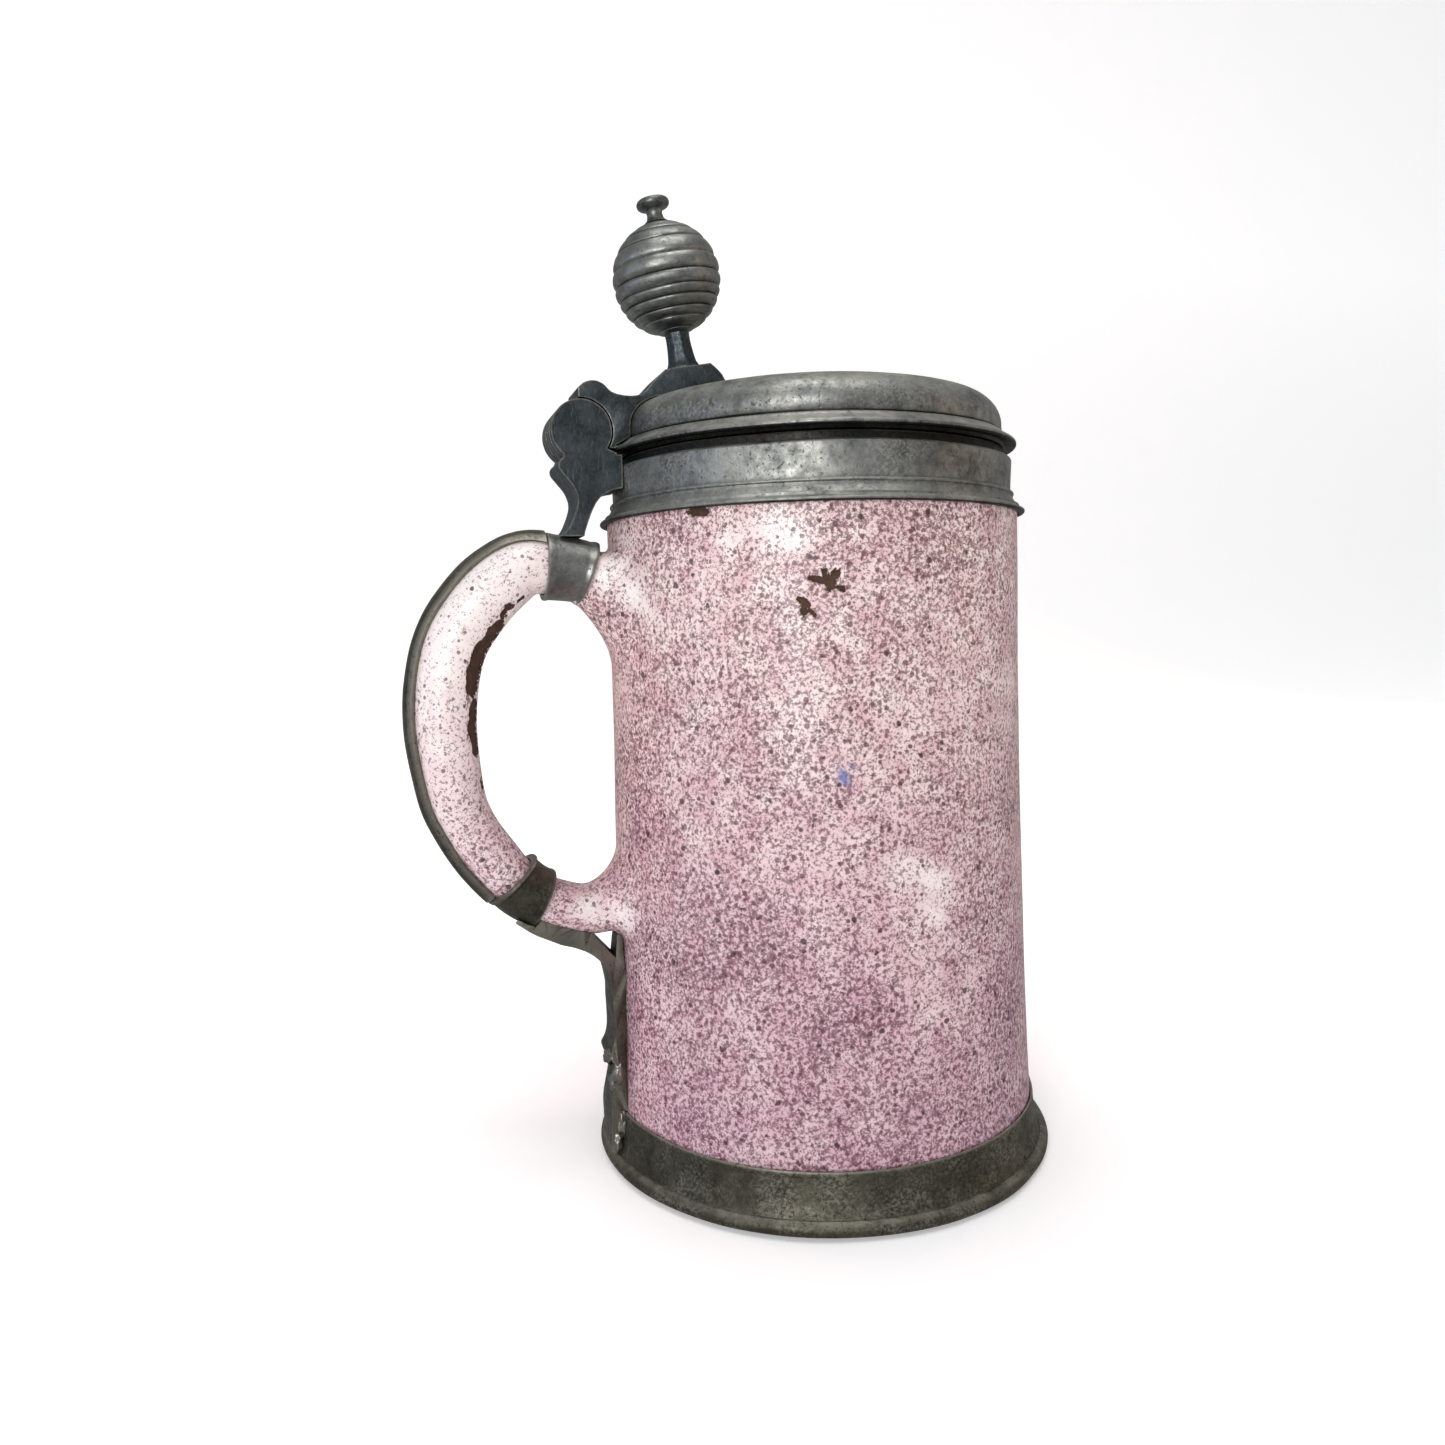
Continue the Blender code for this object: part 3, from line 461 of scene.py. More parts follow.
def node(tree, kind, *values, into=None, **settings):
    """Adds a node. The values fill its sockets in order; settings in small letters are its fields
    and the others are sockets by name. A node or socket given as a value is linked."""
    made = tree.nodes.new("ShaderNode" + kind)
    for key, value in settings.items():
        if key.islower():
            setattr(made, key, value)
    pairs = list(zip((socket for socket in made.inputs if socket.enabled), values))
    for key in settings:
        if not key.islower():
            pairs.append((made.inputs[key.replace("_", " ")], settings[key]))
    for socket, value in pairs:
        if isinstance(value, bpy.types.Node):
            value = next(output for output in value.outputs if output.enabled)
        if isinstance(value, bpy.types.NodeSocket):
            tree.links.new(value, socket)
        elif socket.type == "RGBA":
            socket.default_value = (*value, 1.0)
        else:
            socket.default_value = value
    if into:
        tree.links.new(made.outputs[0], into)
    return made


def new_finish(name):
    """A finish, its node adder, the socket that takes its shader and the place on the piece."""
    finish = bpy.data.materials.new(name)
    finish.use_nodes = True
    finish.node_tree.nodes.clear()
    add = partial(node, finish.node_tree)
    return finish, add, add("OutputMaterial").inputs["Surface"], add("TexCoord").outputs["Object"]


def grain(add, place, size, detail=2.0, rough=0.5, low=0.0, high=1.0):
    """Random field with features of about that many millimetres, low..high stretched to 0..1."""
    return add("MapRange", add("TexNoise", place, 1000.0 / size, detail, rough), low, high)


def mixed(add, first, share, second, other_share):
    """Two fields added in those shares."""
    parts = (add("Math", first, share, **TIMES), add("Math", second, other_share, **TIMES))
    return add("Math", *parts, **PLUS)


def laid(add, ground, tone, field, strength):
    """A tone laid over the ground where the field is strong."""
    return add("Mix", add("Math", field, strength, **TIMES), ground, tone, **TONES)


def make_glaze(name, tones):
    """Manganese-sponged tin glaze on fired clay: opaque pinkish white flooded with fine purple
    speckles under a glassy skin, with the brown body bare where it has chipped."""
    finish, add, surface, place = new_finish(name)
    across, _, height = add("SeparateXYZ", place).outputs
    bare, thin, blue = (add("Attribute", attribute_name=mark).outputs["Fac"] for mark in GLAZE_MARKS)

    # broad clouds of thicker and thinner sponging, 6 to 40 mm across
    cloud = grain(add, place, 30.0, 3.0, 0.6, 0.32, 0.68)
    patch = grain(add, place, 7.0, 4.0, 0.65, 0.34, 0.66)
    lower = add("MapRange", height, 0.130, 0.020)
    outer = add("MapRange", across, -0.036, -0.052)
    wiped = add("Math", outer, add("MapRange", height, 0.070, 0.145, 0.15, 0.9), **TIMES)
    wiped = add("Math", wiped, thin, **MOST)
    ground = laid(add, tones.glaze_pale, tones.glaze_rose, patch, 0.9)
    mauve = add("Math", lower, add("Math", add("Math", cloud, 0.45, **TIMES), 0.4, **PLUS), **TIMES)
    ground = laid(add, ground, tones.glaze_mauve, mauve, 0.85)
    ground = laid(add, ground, tones.glaze_white, wiped, 0.9)

    # speckles 0.4 to 0.9 mm across, denser in the clouds and lower on the wall
    dense = mixed(add, cloud, 0.05, lower, 0.006)
    dense = add("Math", dense, add("Math", wiped, 0.09, **TIMES), **LESS)
    fine = add("TexNoise", place, 1000 / 0.8, 4.0, 0.8)
    coarse = add("TexNoise", place, 1000 / 1.1, 3.0, 0.7)
    speck = add("MapRange", add("Math", fine, dense, **PLUS), 0.53, 0.575)
    deep = add("MapRange", add("Math", coarse, dense, **PLUS), 0.565, 0.60)
    skin_tone = laid(add, ground, tones.speckle, speck, 0.74)
    skin_tone = laid(add, skin_tone, tones.speckle, deep, 0.65)

    # ragged grains and spots: how far apart, how few, how big, how strong and how dark
    for pitch, least, reach, strength, tone in (
        (1.50, 0.30, 0.40, 0.75, tones.speckle), (2.60, 0.55, 0.26, 0.85, tones.speckle_dark),
        (5.20, 0.50, 0.13, 0.90, tones.speckle_dark),
    ):
        cell = add("TexVoronoi", place, Scale=1000 / pitch, Randomness=1.0)
        pick = add("SeparateXYZ", cell.outputs["Color"])
        size = add("Math", add("MapRange", pick, least, 1.0, 0.0, reach), dense, **PLUS)
        ragged = add("Math", cell, add("Math", coarse, 0.55, **TIMES), **PLUS)
        spot = add("MapRange", add("Math", size, ragged, **LESS), -0.275, -0.225)
        skin_tone = laid(add, skin_tone, tone, spot, strength)
    skin_tone = laid(add, skin_tone, tones.cobalt, blue, 0.85)

    # chips: ragged edge within half a millimetre of the modelled hollow
    edge = add("Math", grain(add, place, 1.1, 4.0, 0.75, 0.3, 0.7), 1.1, **TIMES)
    open_clay = add("MapRange", add("Math", bare, edge, **PLUS), 0.52, 0.62)
    clay_tone = grain(add, place, 1.6, 4.0, 0.7, 0.25, 0.75)
    clay = add("Mix", clay_tone, tones.olive_dark, tones.clay, **TONES)

    rough = add("MapRange", grain(add, place, 3.0, 3.0, 0.6, 0.2, 0.8), 0.0, 1.0, 0.26, 0.42)
    rough = add("Math", rough, add("Math", open_clay, 0.6, **TIMES), use_clamp=True, **PLUS)
    peel = add("Bump", Distance=0.00010, Height=grain(add, place, 2.4))
    hollow = add("Math", 1.0, open_clay, **LESS)
    add(
        "BsdfPrincipled", into=surface, Base_Color=add("Mix", open_clay, skin_tone, clay, **TONES),
        Roughness=rough, IOR=1.52, Subsurface_Weight=0.04, Subsurface_Radius=(1.0, 0.6, 0.5),
        Subsurface_Scale=0.001, Normal=add("Bump", Distance=0.00025, Height=hollow, Normal=peel),
    )
    return finish


def make_pewter(
    name,
    tones,
    light="pewter",
    dark="pewter_dark",
    gloss=(0.36, 0.58),
    dusty=0.9,
    spots=0.5,
    metal=1.0,
    grime=(),
):
    """Cast, turned pewter with a century's oxide: blue-grey metal that is darker in hollows, with oxide
    and painted shade, paler on top and at edges, with dust, wear and painted top light and edge
    highlight, and with painted shade in bands under the lip, in the groove and under the flare; soft
    blotches and fine turning lines spread the light."""
    finish, add, surface, place = new_finish(name)
    light, dark, pale_tone = getattr(tones, light), getattr(tones, dark), tones.pewter_dust_and_light
    geometry = add("NewGeometry")
    mottling = grain(add, place, 2.2, 4.0, 0.7, 0.30, 0.72)
    pits = grain(add, place, 0.8, 3.0, 0.6, 0.60, 0.70)
    share = mixed(add, grain(add, place, 14.0, 4.0, 0.65, 0.30, 0.70), 0.6, mottling, 0.4)
    tone = add("Mix", share, dark, light, **TONES)

    # pale dust lies in drifts and as powder; on what faces up the pale film is dust and a painted top
    # light
    upward = add("SeparateXYZ", geometry.outputs["Normal"]).outputs["Z"]
    upward_dust_and_light = add("MapRange", upward, 0.35, 0.95)
    powder = grain(add, place, 0.7, 3.0, 0.7, 0.44, 0.60)
    drift = grain(add, place, 11.0, 4.0, 0.65, 0.36, 0.60)
    held = add("Math", add("Math", drift, powder, **TIMES), 0.55, **TIMES)
    dust_and_top_light = add("Math", upward_dust_and_light, grain(add, place, 5.0, 5.0, 0.7, 0.3, 0.65), **TIMES)
    dust_and_top_light = add("Math", add("Math", dust_and_top_light, held, **MOST), dusty, **TIMES)
    tone = laid(add, tone, pale_tone, dust_and_top_light, 0.7)

    # edges rubbed pale, as wear and as a painted edge highlight; hollows dark with oxide and painted
    # shade, pits dark with oxide
    tone = laid(add, tone, pale_tone, add("MapRange", geometry.outputs["Pointiness"], 0.53, 0.60), 0.6)
    tone = laid(add, tone, dark, add("MapRange", geometry.outputs["Pointiness"], 0.47, 0.40), 0.8)
    tone = laid(add, tone, dark, pits, spots)
    height = add("SeparateXYZ", place).outputs["Z"]
    # painted shade in height bands at the recesses, strongest where the surface faces down
    for low, high in grime:
        above = add("MapRange", height, (low - 0.3) / 1000, low / 1000)
        below = add("MapRange", height, (high + 0.3) / 1000, high / 1000)
        facing_down = add("Math", 0.92, add("Math", upward_dust_and_light, 0.8, **TIMES), **LESS)
        shaded = add("Math", add("Math", above, below, **TIMES), facing_down, **TIMES)
        tone = add("Mix", shaded, tone, tones.grime, **TONES)
    rough = add("MapRange", mottling, 0.0, 1.0, gloss[1], gloss[0])
    tooth = add("Bump", Distance=0.00007, Height=grain(add, place, 1.1, 4.0, 0.65))
    flat = add("Math", 1.0, pits, **LESS)
    add(
        "BsdfPrincipled", into=surface, Base_Color=tone,
        Roughness=add("Math", rough, add("Math", dust_and_top_light, 0.15, **TIMES), use_clamp=True, **PLUS),
        Metallic=add("MapRange", dust_and_top_light, 0.0, 1.0, metal, metal * 0.55),
        Normal=add("Bump", Distance=0.00005, Height=flat, Normal=tooth),
    )
    return finish


def make_hinge_pewter(name, tones):
    """Flat-filed pewter plates, handled for years: dark blue-grey faces crossed by fine
    scratches, with the edges rubbed bright, as wear and as a painted edge highlight."""
    finish, add, surface, place = new_finish(name)
    rounded = add("Bevel", samples=6, Radius=0.0007)
    straight = add("NewGeometry").outputs["Normal"]
    match = add("VectorMath", rounded, straight, operation="DOT_PRODUCT").outputs["Value"]
    rubbed_and_highlit = add("MapRange", match, 0.995, 0.90)
    tooth = grain(add, place, 0.9, 4.0, 0.7, 0.35, 0.70)
    # scratches a tenth of a millimetre wide, drawn 0.3 mm wide so that they show
    turned = add("Mapping", Vector=place, Rotation=(0.0, 0.5, 0.0), Scale=(1.0, 1.0, 0.12))
    scratch = grain(add, turned, 0.35, 2.0, 0.6, 0.60, 0.72)
    share = mixed(add, grain(add, place, 6.0, 4.0, 0.7, 0.30, 0.70), 0.6, tooth, 0.4)
    tone = add("Mix", share, tones.hinge_dark, tones.hinge_metal, **TONES)
    tone = laid(add, tone, tones.pewter, scratch, 0.18)
    ragged = add("Math", add("Math", tooth, 0.7, **TIMES), 0.3, **PLUS)
    # pale edges: wear and a painted edge highlight
    tone = laid(add, tone, tones.pewter_dust_and_light, add("Math", rubbed_and_highlit, ragged, **TIMES), 0.95)
    add(
        "BsdfPrincipled", into=surface, Base_Color=tone,
        Roughness=add("MapRange", tooth, 0.0, 1.0, 0.52, 0.36), Metallic=0.95,
        Normal=add("Bump", Distance=0.00008, Height=share),
    )
    return finish


def make_plain(name, tones, tone, roughness, metallic, size, depth):
    """Drawn iron or set plaster: one tone, mottled, with a fine tooth that dulls the light."""
    finish, add, surface, place = new_finish(name)
    field = grain(add, place, size, 4.0, 0.6, 0.25, 0.75)
    tone = getattr(tones, tone)
    add(
        "BsdfPrincipled", into=surface,
        Base_Color=add("Mix", field, tuple(channel * 0.55 for channel in tone), tone, **TONES),
        Roughness=roughness, Metallic=metallic,
        Normal=add("Bump", Distance=depth / 1000, Height=field),
    )
    return finish


def finish_named(name):
    """The finish of that name, made when it is first asked for."""
    if name in bpy.data.materials:
        return bpy.data.materials[name]
    group = bpy.context.scene.tankard_colours
    names = TankardColours.__annotations__
    tones = SimpleNamespace(**{key: tuple(getattr(group, key)) for key in names})
    mm = measures()
    # painted shade where the lid meets the collar, in the lid's groove and under the flare
    grime = (
        (mm.collar_top - 1.8, mm.lid_base + 0.75), (mm.lid_base + 3.5, mm.lid_base + 3.9),
        (mm.collar_bottom - 1.0, mm.collar_bottom + 0.15),
    )
    black = {"light": "olive", "dark": "olive_dark", "metal": 0.9, "spots": 0.7}
    solder = {"light": "solder", "dark": "olive_dark", "gloss": (0.26, 0.5), "dusty": 0.4, "spots": 0.4}
    iron = {"tone": "iron", "roughness": 0.45, "metallic": 1.0, "size": 1.5, "depth": 0.04}
    plaster = {"tone": "plaster", "roughness": 0.9, "metallic": 0.0, "size": 1.2, "depth": 0.08}
    make, settings = {
        "manganese_speckled_tin_glaze": (make_glaze, {}),
        "filed_hinge_pewter": (make_hinge_pewter, {}),
        "oxidised_cast_pewter": (make_pewter, {"grime": grime}),
        "ribbed_ball_pewter": (make_pewter, {"gloss": (0.32, 0.50), "dusty": 0.35}),
        "blackened_sheet_pewter": (make_pewter, {**black, "gloss": (0.36, 0.56), "dusty": 0.3}),
        # the foot's strong pale film on upward faces is dust and painted top light
        "dusty_foot_pewter": (make_pewter, {**black, "gloss": (0.40, 0.62), "dusty": 0.8}),
        "run_soft_solder": (make_pewter, solder), "drawn_iron": (make_plain, iron),
        "bedding_plaster": (make_plain, plaster),
    }[name]
    return make(name, tones, **settings)


# ---------------------------------------------------------------- the jug


GLAZE_MARKS = ("bare", "thin", "blue")
# Places in the frame, in millimetres, where the glaze is lost or changed: ends and radius of each
CHIPS = (
    ((-54.4, -6.8, 136.4), (-55.6, -6.8, 134.4), 1.3),
    ((-51.3, -6.2, 138.0), (-51.9, -6.2, 137.6), 0.8),
    ((-57.4, -5.4, 130.8), (-60.2, -5.6, 126.4), 3.0),
    ((-60.2, -5.6, 126.4), (-62.2, -6.0, 121.2), 3.4),
    ((-62.2, -6.0, 121.2), (-63.4, -6.0, 118.4), 2.6),
    ((-62.8, -4.4, 112.6), (-63.2, -4.8, 108.6), 3.0),
    ((-63.2, -4.8, 108.6), (-63.0, -4.4, 104.3), 2.3),
    ((-62.1, -3.8, 96.4), (-61.9, -3.8, 95.0), 0.8),
    ((3.1, -46.8, 139.8), (9.2, -48.8, 137.4), 0.7),
    ((5.7, -47.7, 141.1), (6.4, -48.0, 137.9), 0.8),
    ((7.8, -48.4, 140.7), (7.2, -48.2, 138.2), 0.9),
    ((0.8, -45.8, 135.4), (3.2, -46.8, 132.6), 0.7),
    ((1.9, -46.3, 134.3), (1.5, -46.1, 133.2), 0.9),
    ((-17.9, -31.0, 154.9), (-15.7, -33.4, 154.8), 1.1),
)
THIN_PATCHES = (
    ((22.5, -51.0, 78.0), (30.0, -50.4, 74.0), 6.0),
    ((27.0, -50.9, 70.0), (31.0, -50.2, 63.0), 3.5),
    ((-9.8, -39.2, 149.5), (-2.0, -44.5, 149.0), 4.5),
    ((8.0, -48.5, 128.0), (12.0, -49.5, 124.0), 3.0),
    ((-34.0, -9.0, 143.0), (-27.0, -14.0, 139.0), 6.0),
    ((-27.0, -14.0, 139.0), (-23.0, -21.0, 132.0), 4.5),
    ((-40.0, -8.0, 66.5), (-29.0, -10.0, 62.5), 5.0),
)
BLUE_SPOTS = (
    ((8.8, -49.0, 99.6), (8.4, -48.9, 97.6), 1.1),
    ((9.8, -49.3, 99.4), (10.4, -49.4, 100.3), 0.5),
)


def wall_radius(mm, height):
    """Outside of the wall: a slight taper, drawn in a little halfway up."""
    share = (height - mm.foot_height) / (mm.shoulder - mm.foot_height)
    straight = mm.jug_foot_radius + (mm.jug_top_radius - mm.jug_foot_radius) * share
    return straight - mm.jug_waist * 4 * share * (1 - share)


def jug_outline(mm):
    low = mm.foot_height - GAP
    count = 92
    top = mm.shoulder - 0.4
    heights = [top + (low - mm.shoulder + 0.4) * step / count for step in range(count + 1)]
    wall = [(wall_radius(mm, height), height) for height in heights]
    neck, top = mm.neck_radius, mm.rim_top
    bottom = 9.6
    mouth = neck - mm.jug_wall
    body = mm.jug_top_radius - mm.jug_wall
    foot = mm.jug_foot_radius - 1.8 - mm.jug_wall
    inside = [
        (0.0, bottom), (foot * 0.5, bottom), (foot - 6.0, bottom + 0.1),
        *arc((foot - 5.0, bottom + 5.0), 5.0, -78, 0, 8), (foot + 0.6, bottom + 30),
        (body - 0.3, mm.shoulder - 30), (body, mm.shoulder - 11.0), (body - 1.2, mm.shoulder - 7.0),
        (mouth + 0.8, mm.shoulder - 3.6), (mouth, mm.shoulder - 1.0), (mouth, top - 2.0),
    ]
    rim = arc((mouth + 1.4, top - 1.4), 1.4, 180, 90, 5) + arc((neck - 1.2, top - 1.2), 1.2, 90, 0, 5)
    base = [
        (mm.jug_foot_radius - 0.1, mm.foot_height - 0.9),
        (mm.jug_foot_radius - 1.8, mm.foot_height - 2.0), (mm.jug_foot_radius - 1.8, 3.4),
        (mm.jug_foot_radius - 2.6, 2.6), (0.0, 2.6),
    ]
    return inside + rim + [(neck, mm.shoulder)] + [(mm.jug_top_radius - 0.3, mm.shoulder)] + wall + base


def flare(distance, radius):
    """How far a root's quarter-round fillet stands out at a distance from the wall."""
    least = radius * 0.014
    at = min(max(distance, least), radius)
    out = radius - math.sqrt(radius**2 - (radius - at) ** 2)
    return out + min(max(least - distance, 0.0), 0.6) * 5.0


def root_radius(rise, top, side, bottom):
    """Fillet radius round the root, by how far up (1) or down (-1) a point of the ring lies."""
    if rise > 0:
        return side + (top - side) * rise**1.5
    return side + (bottom - side) * (-rise) ** 1.5


def handle_places(mm):
    line = handle_line(mm)
    return stations(line, 0.0, distance_at(line, lambda p: False), 210)


def handle_rings(mm):
    """The handle's sections, swollen into the wall at both roots."""
    rings = []
    for place in handle_places(mm):
        point = place[0]
        upper = point.y > (mm.handle_top + mm.handle_low) / 2
        sizes = (3.5, 8.0, 18.5) if upper else (11.0, 7.0, 3.0)  # fillet above, beside and below
        moved = []
        for vert in oval(mm, place):
            away = vert - Vector((point.x, 0.0, point.y))
            rise = away.normalized().z
            gap = math.hypot(vert.x - AXIS, vert.y) - wall_radius(mm, vert.z)
            out = flare(gap, root_radius(rise, *sizes))
            spot = vert + away.normalized() * out
            if out > 0.0:
                reach = wall_radius(mm, spot.z) + gap
                spot.x = AXIS - math.sqrt(reach**2 - spot.y**2)
            moved.append(spot)
        rings.append(moved)
    return rings


def spot_depth(point, spots):
    """How deep a point lies in the nearest of the spots: radius less distance, in millimetres."""
    best = -9.0
    for start, end, radius in spots:
        from_start, span = point - Vector(start), Vector(end) - Vector(start)
        share = max(0.0, min(1.0, from_start.dot(span) / span.length_squared))
        best = max(best, radius - (from_start - span * share).length)
    return best


def mark_glaze(shape):
    """Hollows the chips and writes on each point how bare, thin or blue its glaze is."""
    near = [
        edge
        for edge in shape.edges
        if edge.calc_length() > 0.5 and spot_depth(edge.verts[0].co, CHIPS) > -2.2
    ]
    bmesh.ops.subdivide_edges(shape, edges=near, cuts=3, use_grid_fill=True)
    for name in GLAZE_MARKS:
        shape.verts.layers.float.new(name)
    bare, thin, blue = (shape.verts.layers.float[name] for name in GLAZE_MARKS)
    shape.normal_update()
    for vert in shape.verts:
        ragged = spot_depth(vert.co, CHIPS) + noise.noise(vert.co / 1.3) * 0.45
        vert[bare] = max(min(ragged, 3.0), -3.0)
        soft = spot_depth(vert.co, THIN_PATCHES) + noise.noise(vert.co / 6.0) * 3.0
        vert[thin] = min(max(soft / 7.0, 0.0), 1.0)
        dabbed = spot_depth(vert.co, BLUE_SPOTS) + noise.noise(vert.co / 0.9) * 0.7
        vert[blue] = min(max(dabbed * 1.6, 0.0), 1.0)
        if ragged > 0:
            vert.co -= vert.normal * 0.55 * min(ragged / 0.35, 1.0)
    return shape


class MakeJug(bpy.types.Operator):
    """Throws the jug: turned wall, hollow inside, and the pulled handle flared into it"""

    bl_idname = "tankard.jug"
    bl_label = "Jug"

    def execute(self, context):
        mm = measures()
        jug = combined(turned(jug_outline(mm)), "UNION", loft(handle_rings(mm)))
        worn(jug, 0.16, 22.0)
        mark_glaze(jug)
        glaze = "manganese_speckled_tin_glaze"
        finish_piece("glazed_jug", jug, glaze, "jug", "glazed_clay", "faience_jug")
        return {"FINISHED"}


# ---------------------------------------------------------------- foot, collar and lid


class MakeFoot(bpy.types.Operator):
    """Turns the foot ring: a thin edge on the wall, a cove, a line and a bead on the table"""

    bl_idname = "tankard.foot"
    bl_label = "Foot ring"

    def execute(self, context):
        mm = measures()
        bore = mm.jug_foot_radius + GAP
        top = mm.foot_height
        cove = curve_through(
            [
                (bore + 0.6, top - 0.4), (bore + 0.7, top - 2.4), (bore + 1.0, top - 5.0),
                (bore + 1.45, top - 7.4), (bore + 2.0, top - 9.3),
            ],
            5,
        )
        step = [(mm.foot_radius - 2.1, 3.95), (mm.foot_radius - 1.95, 3.65), (mm.foot_radius - 1.3, 3.7)]
        bead = arc((mm.foot_radius - 1.8, 1.85), 1.8, 62, -80, 10)
        under = [(bore - 7.5, 0.0), (bore - 7.5, 2.3), (bore - 0.2, 2.3), (bore, 2.5), (bore, top - 0.3)]
        lip = [(bore + 0.1, top), (bore + 0.45, top - 0.02)]
        shape = turned(cove + step + bead + under + lip)
        worn(shape, 0.22, 16.0, 3.0)
        for vert in shape.verts:
            vert.co.z = max(vert.co.z, 0.0)
        finish_piece("foot_mount", shape, "dusty_foot_pewter", "jug", "dark_pewter", "foot_ring")
        return {"FINISHED"}


class MakeCollar(bpy.types.Operator):
    """Turns the rim collar: a recessed top edge, a plain wall, a fine ridge and a flare"""

    bl_idname = "tankard.collar"
    bl_label = "Rim collar"

    def execute(self, context):
        mm = measures()
        bore = mm.neck_radius + 1.7
        skirt = mm.jug_top_radius + 0.4
        wall, top, low = mm.collar_radius, mm.collar_top, mm.collar_bottom
        line = low + 4.4
        outline = [
            (mm.neck_radius - 1.2, top), (wall - 2.2, top), (wall - 1.9, top - 0.3),
            (wall - 1.8, top - 1.7), (wall - 1.2, top - 2.1),
            *arc((wall - 0.6, top - 2.7), 0.6, 90, 0, 4), (wall - 0.1, top - 5.0),
            (wall - 0.25, line + 1.5), (wall - 0.1, line + 0.55),
            *arc((wall + 0.15, line + 0.15), 0.42, 110, -70, 6), (wall + 0.35, line - 0.75),
        ]
        outline += curve_through(
            [
                (wall + 0.5, line - 1.1), (wall + 1.1, line - 2.1), (wall + 2.0, line - 3.1),
                (wall + 2.8, low + 0.9),
            ],
            4,
        )
        outline += arc((wall + 2.65, low + 0.5), 0.5, 50, -90, 5)
        outline += [
            (skirt, low), (skirt, mm.shoulder + GAP), (bore, mm.shoulder + GAP),
            (bore, mm.rim_top + GAP), (mm.neck_radius - 1.2, mm.rim_top + GAP),
        ]
        shape = turned(outline)
        worn(shape, 0.18, 24.0, 7.0)
        finish_piece("collar_mount", shape, "oxidised_cast_pewter", "jug", "pewter", "rim_collar")
        return {"FINISHED"}


def crown_height(mm, radius):
    """Upper surface of the lid: a low crown inside a quarter-round shoulder."""
    shoulder = 9.0
    flat = mm.lid_radius - shoulder
    edge = mm.crown - 4.5
    if radius <= flat:
        return mm.crown - 4.5 * (radius / flat) ** 2
    share = min((radius - flat) / shoulder, 1.0)
    return edge - (edge - mm.lid_base - 5.8) * (1 - math.sqrt(1 - share**2))


class MakeLid(bpy.types.Operator):
    """Turns the hollow lid: crown, rounded shoulder, a groove, the lip, and a flange inside"""

    bl_idname = "tankard.lid"
    bl_label = "Lid"

    def execute(self, context):
        mm = measures()
        base, radius, lip = mm.lid_base, mm.lid_radius, mm.lid_lip_radius
        steps = 40
        shares = [math.sin(math.pi / 2 * step / steps) for step in range(steps + 1)]
        dome = [(radius * share, crown_height(mm, radius * share)) for share in shares]
        inner = [(radius * share * 0.962, crown_height(mm, radius * share) - 1.8) for share in shares]
        step = [
            (radius + 0.02, base + 4.4), (radius - 0.35, base + 3.9), (radius - 0.3, base + 3.5),
            (radius + 0.35, base + 3.55),
        ]
        edge = curve_through(
            [(radius + 0.6, base + 3.4), (radius + 1.3, base + 2.7), (lip - 0.5, base + 1.75)], 4
        ) + arc((lip - 0.65, base + 1.05), 0.65, 60, -60, 6)
        flange = mm.neck_radius - mm.jug_wall - 0.8
        under = [
            (lip - 1.2, base + 0.75), (mm.collar_radius - 1.4, base + 0.7),
            (mm.collar_radius - 1.8, base + 0.05), (mm.collar_radius - 2.4, base),
            (flange + 0.3, base), (flange, base - 0.3), (flange, base - 4.2),
            (flange - 0.4, base - 4.6), (flange - 1.4, base - 4.6), (flange - 1.8, base - 4.2),
            (flange - 1.8, base + 1.5), (flange - 1.5, base + 1.8), (radius - 2.6, base + 1.8),
            (radius - 2.0, base + 2.4),
        ]
        roof = [point for point in reversed(inner) if point[1] > base + 3.0]
        shape = turned(dome + step + edge + under + roof)
        worn(shape, 0.18, 24.0, 7.0)
        finish_piece("lid_dome", shape, "oxidised_cast_pewter", "lid", "pewter", "lid")
        return {"FINISHED"}


# ---------------------------------------------------------------- hinge


def knuckle_spans(mm):
    pitch = mm.hinge_width / 5
    edge = -mm.hinge_width / 2
    return [(edge + pitch * i + GAP / 2, edge + pitch * (i + 1) - GAP / 2) for i in range(5)]


def lid_clearance(mm):
    """The lid's outside grown by the gap, solid down to its lip."""
    radii = [mm.lid_radius * math.sin(math.pi / 2 * step / 24) for step in range(25)]
    dome = [((r + GAP) if r else 0.0, crown_height(mm, r) + GAP) for r in radii]
    edge = [
        (mm.lid_radius + GAP, mm.lid_base + 3.9), (mm.lid_lip_radius + GAP, mm.lid_base + 2.0),
        (mm.lid_lip_radius + GAP, mm.lid_base - GAP), (0.0, mm.lid_base - GAP),
    ]
    return turned(dome + edge, 96)


def thumb_base(mm):
    radius = mm.lid_radius - 15.3
    return Vector((AXIS - radius, 0.0, crown_height(mm, radius) + 5.9))


THUMB_LEAN = math.radians(9.6)


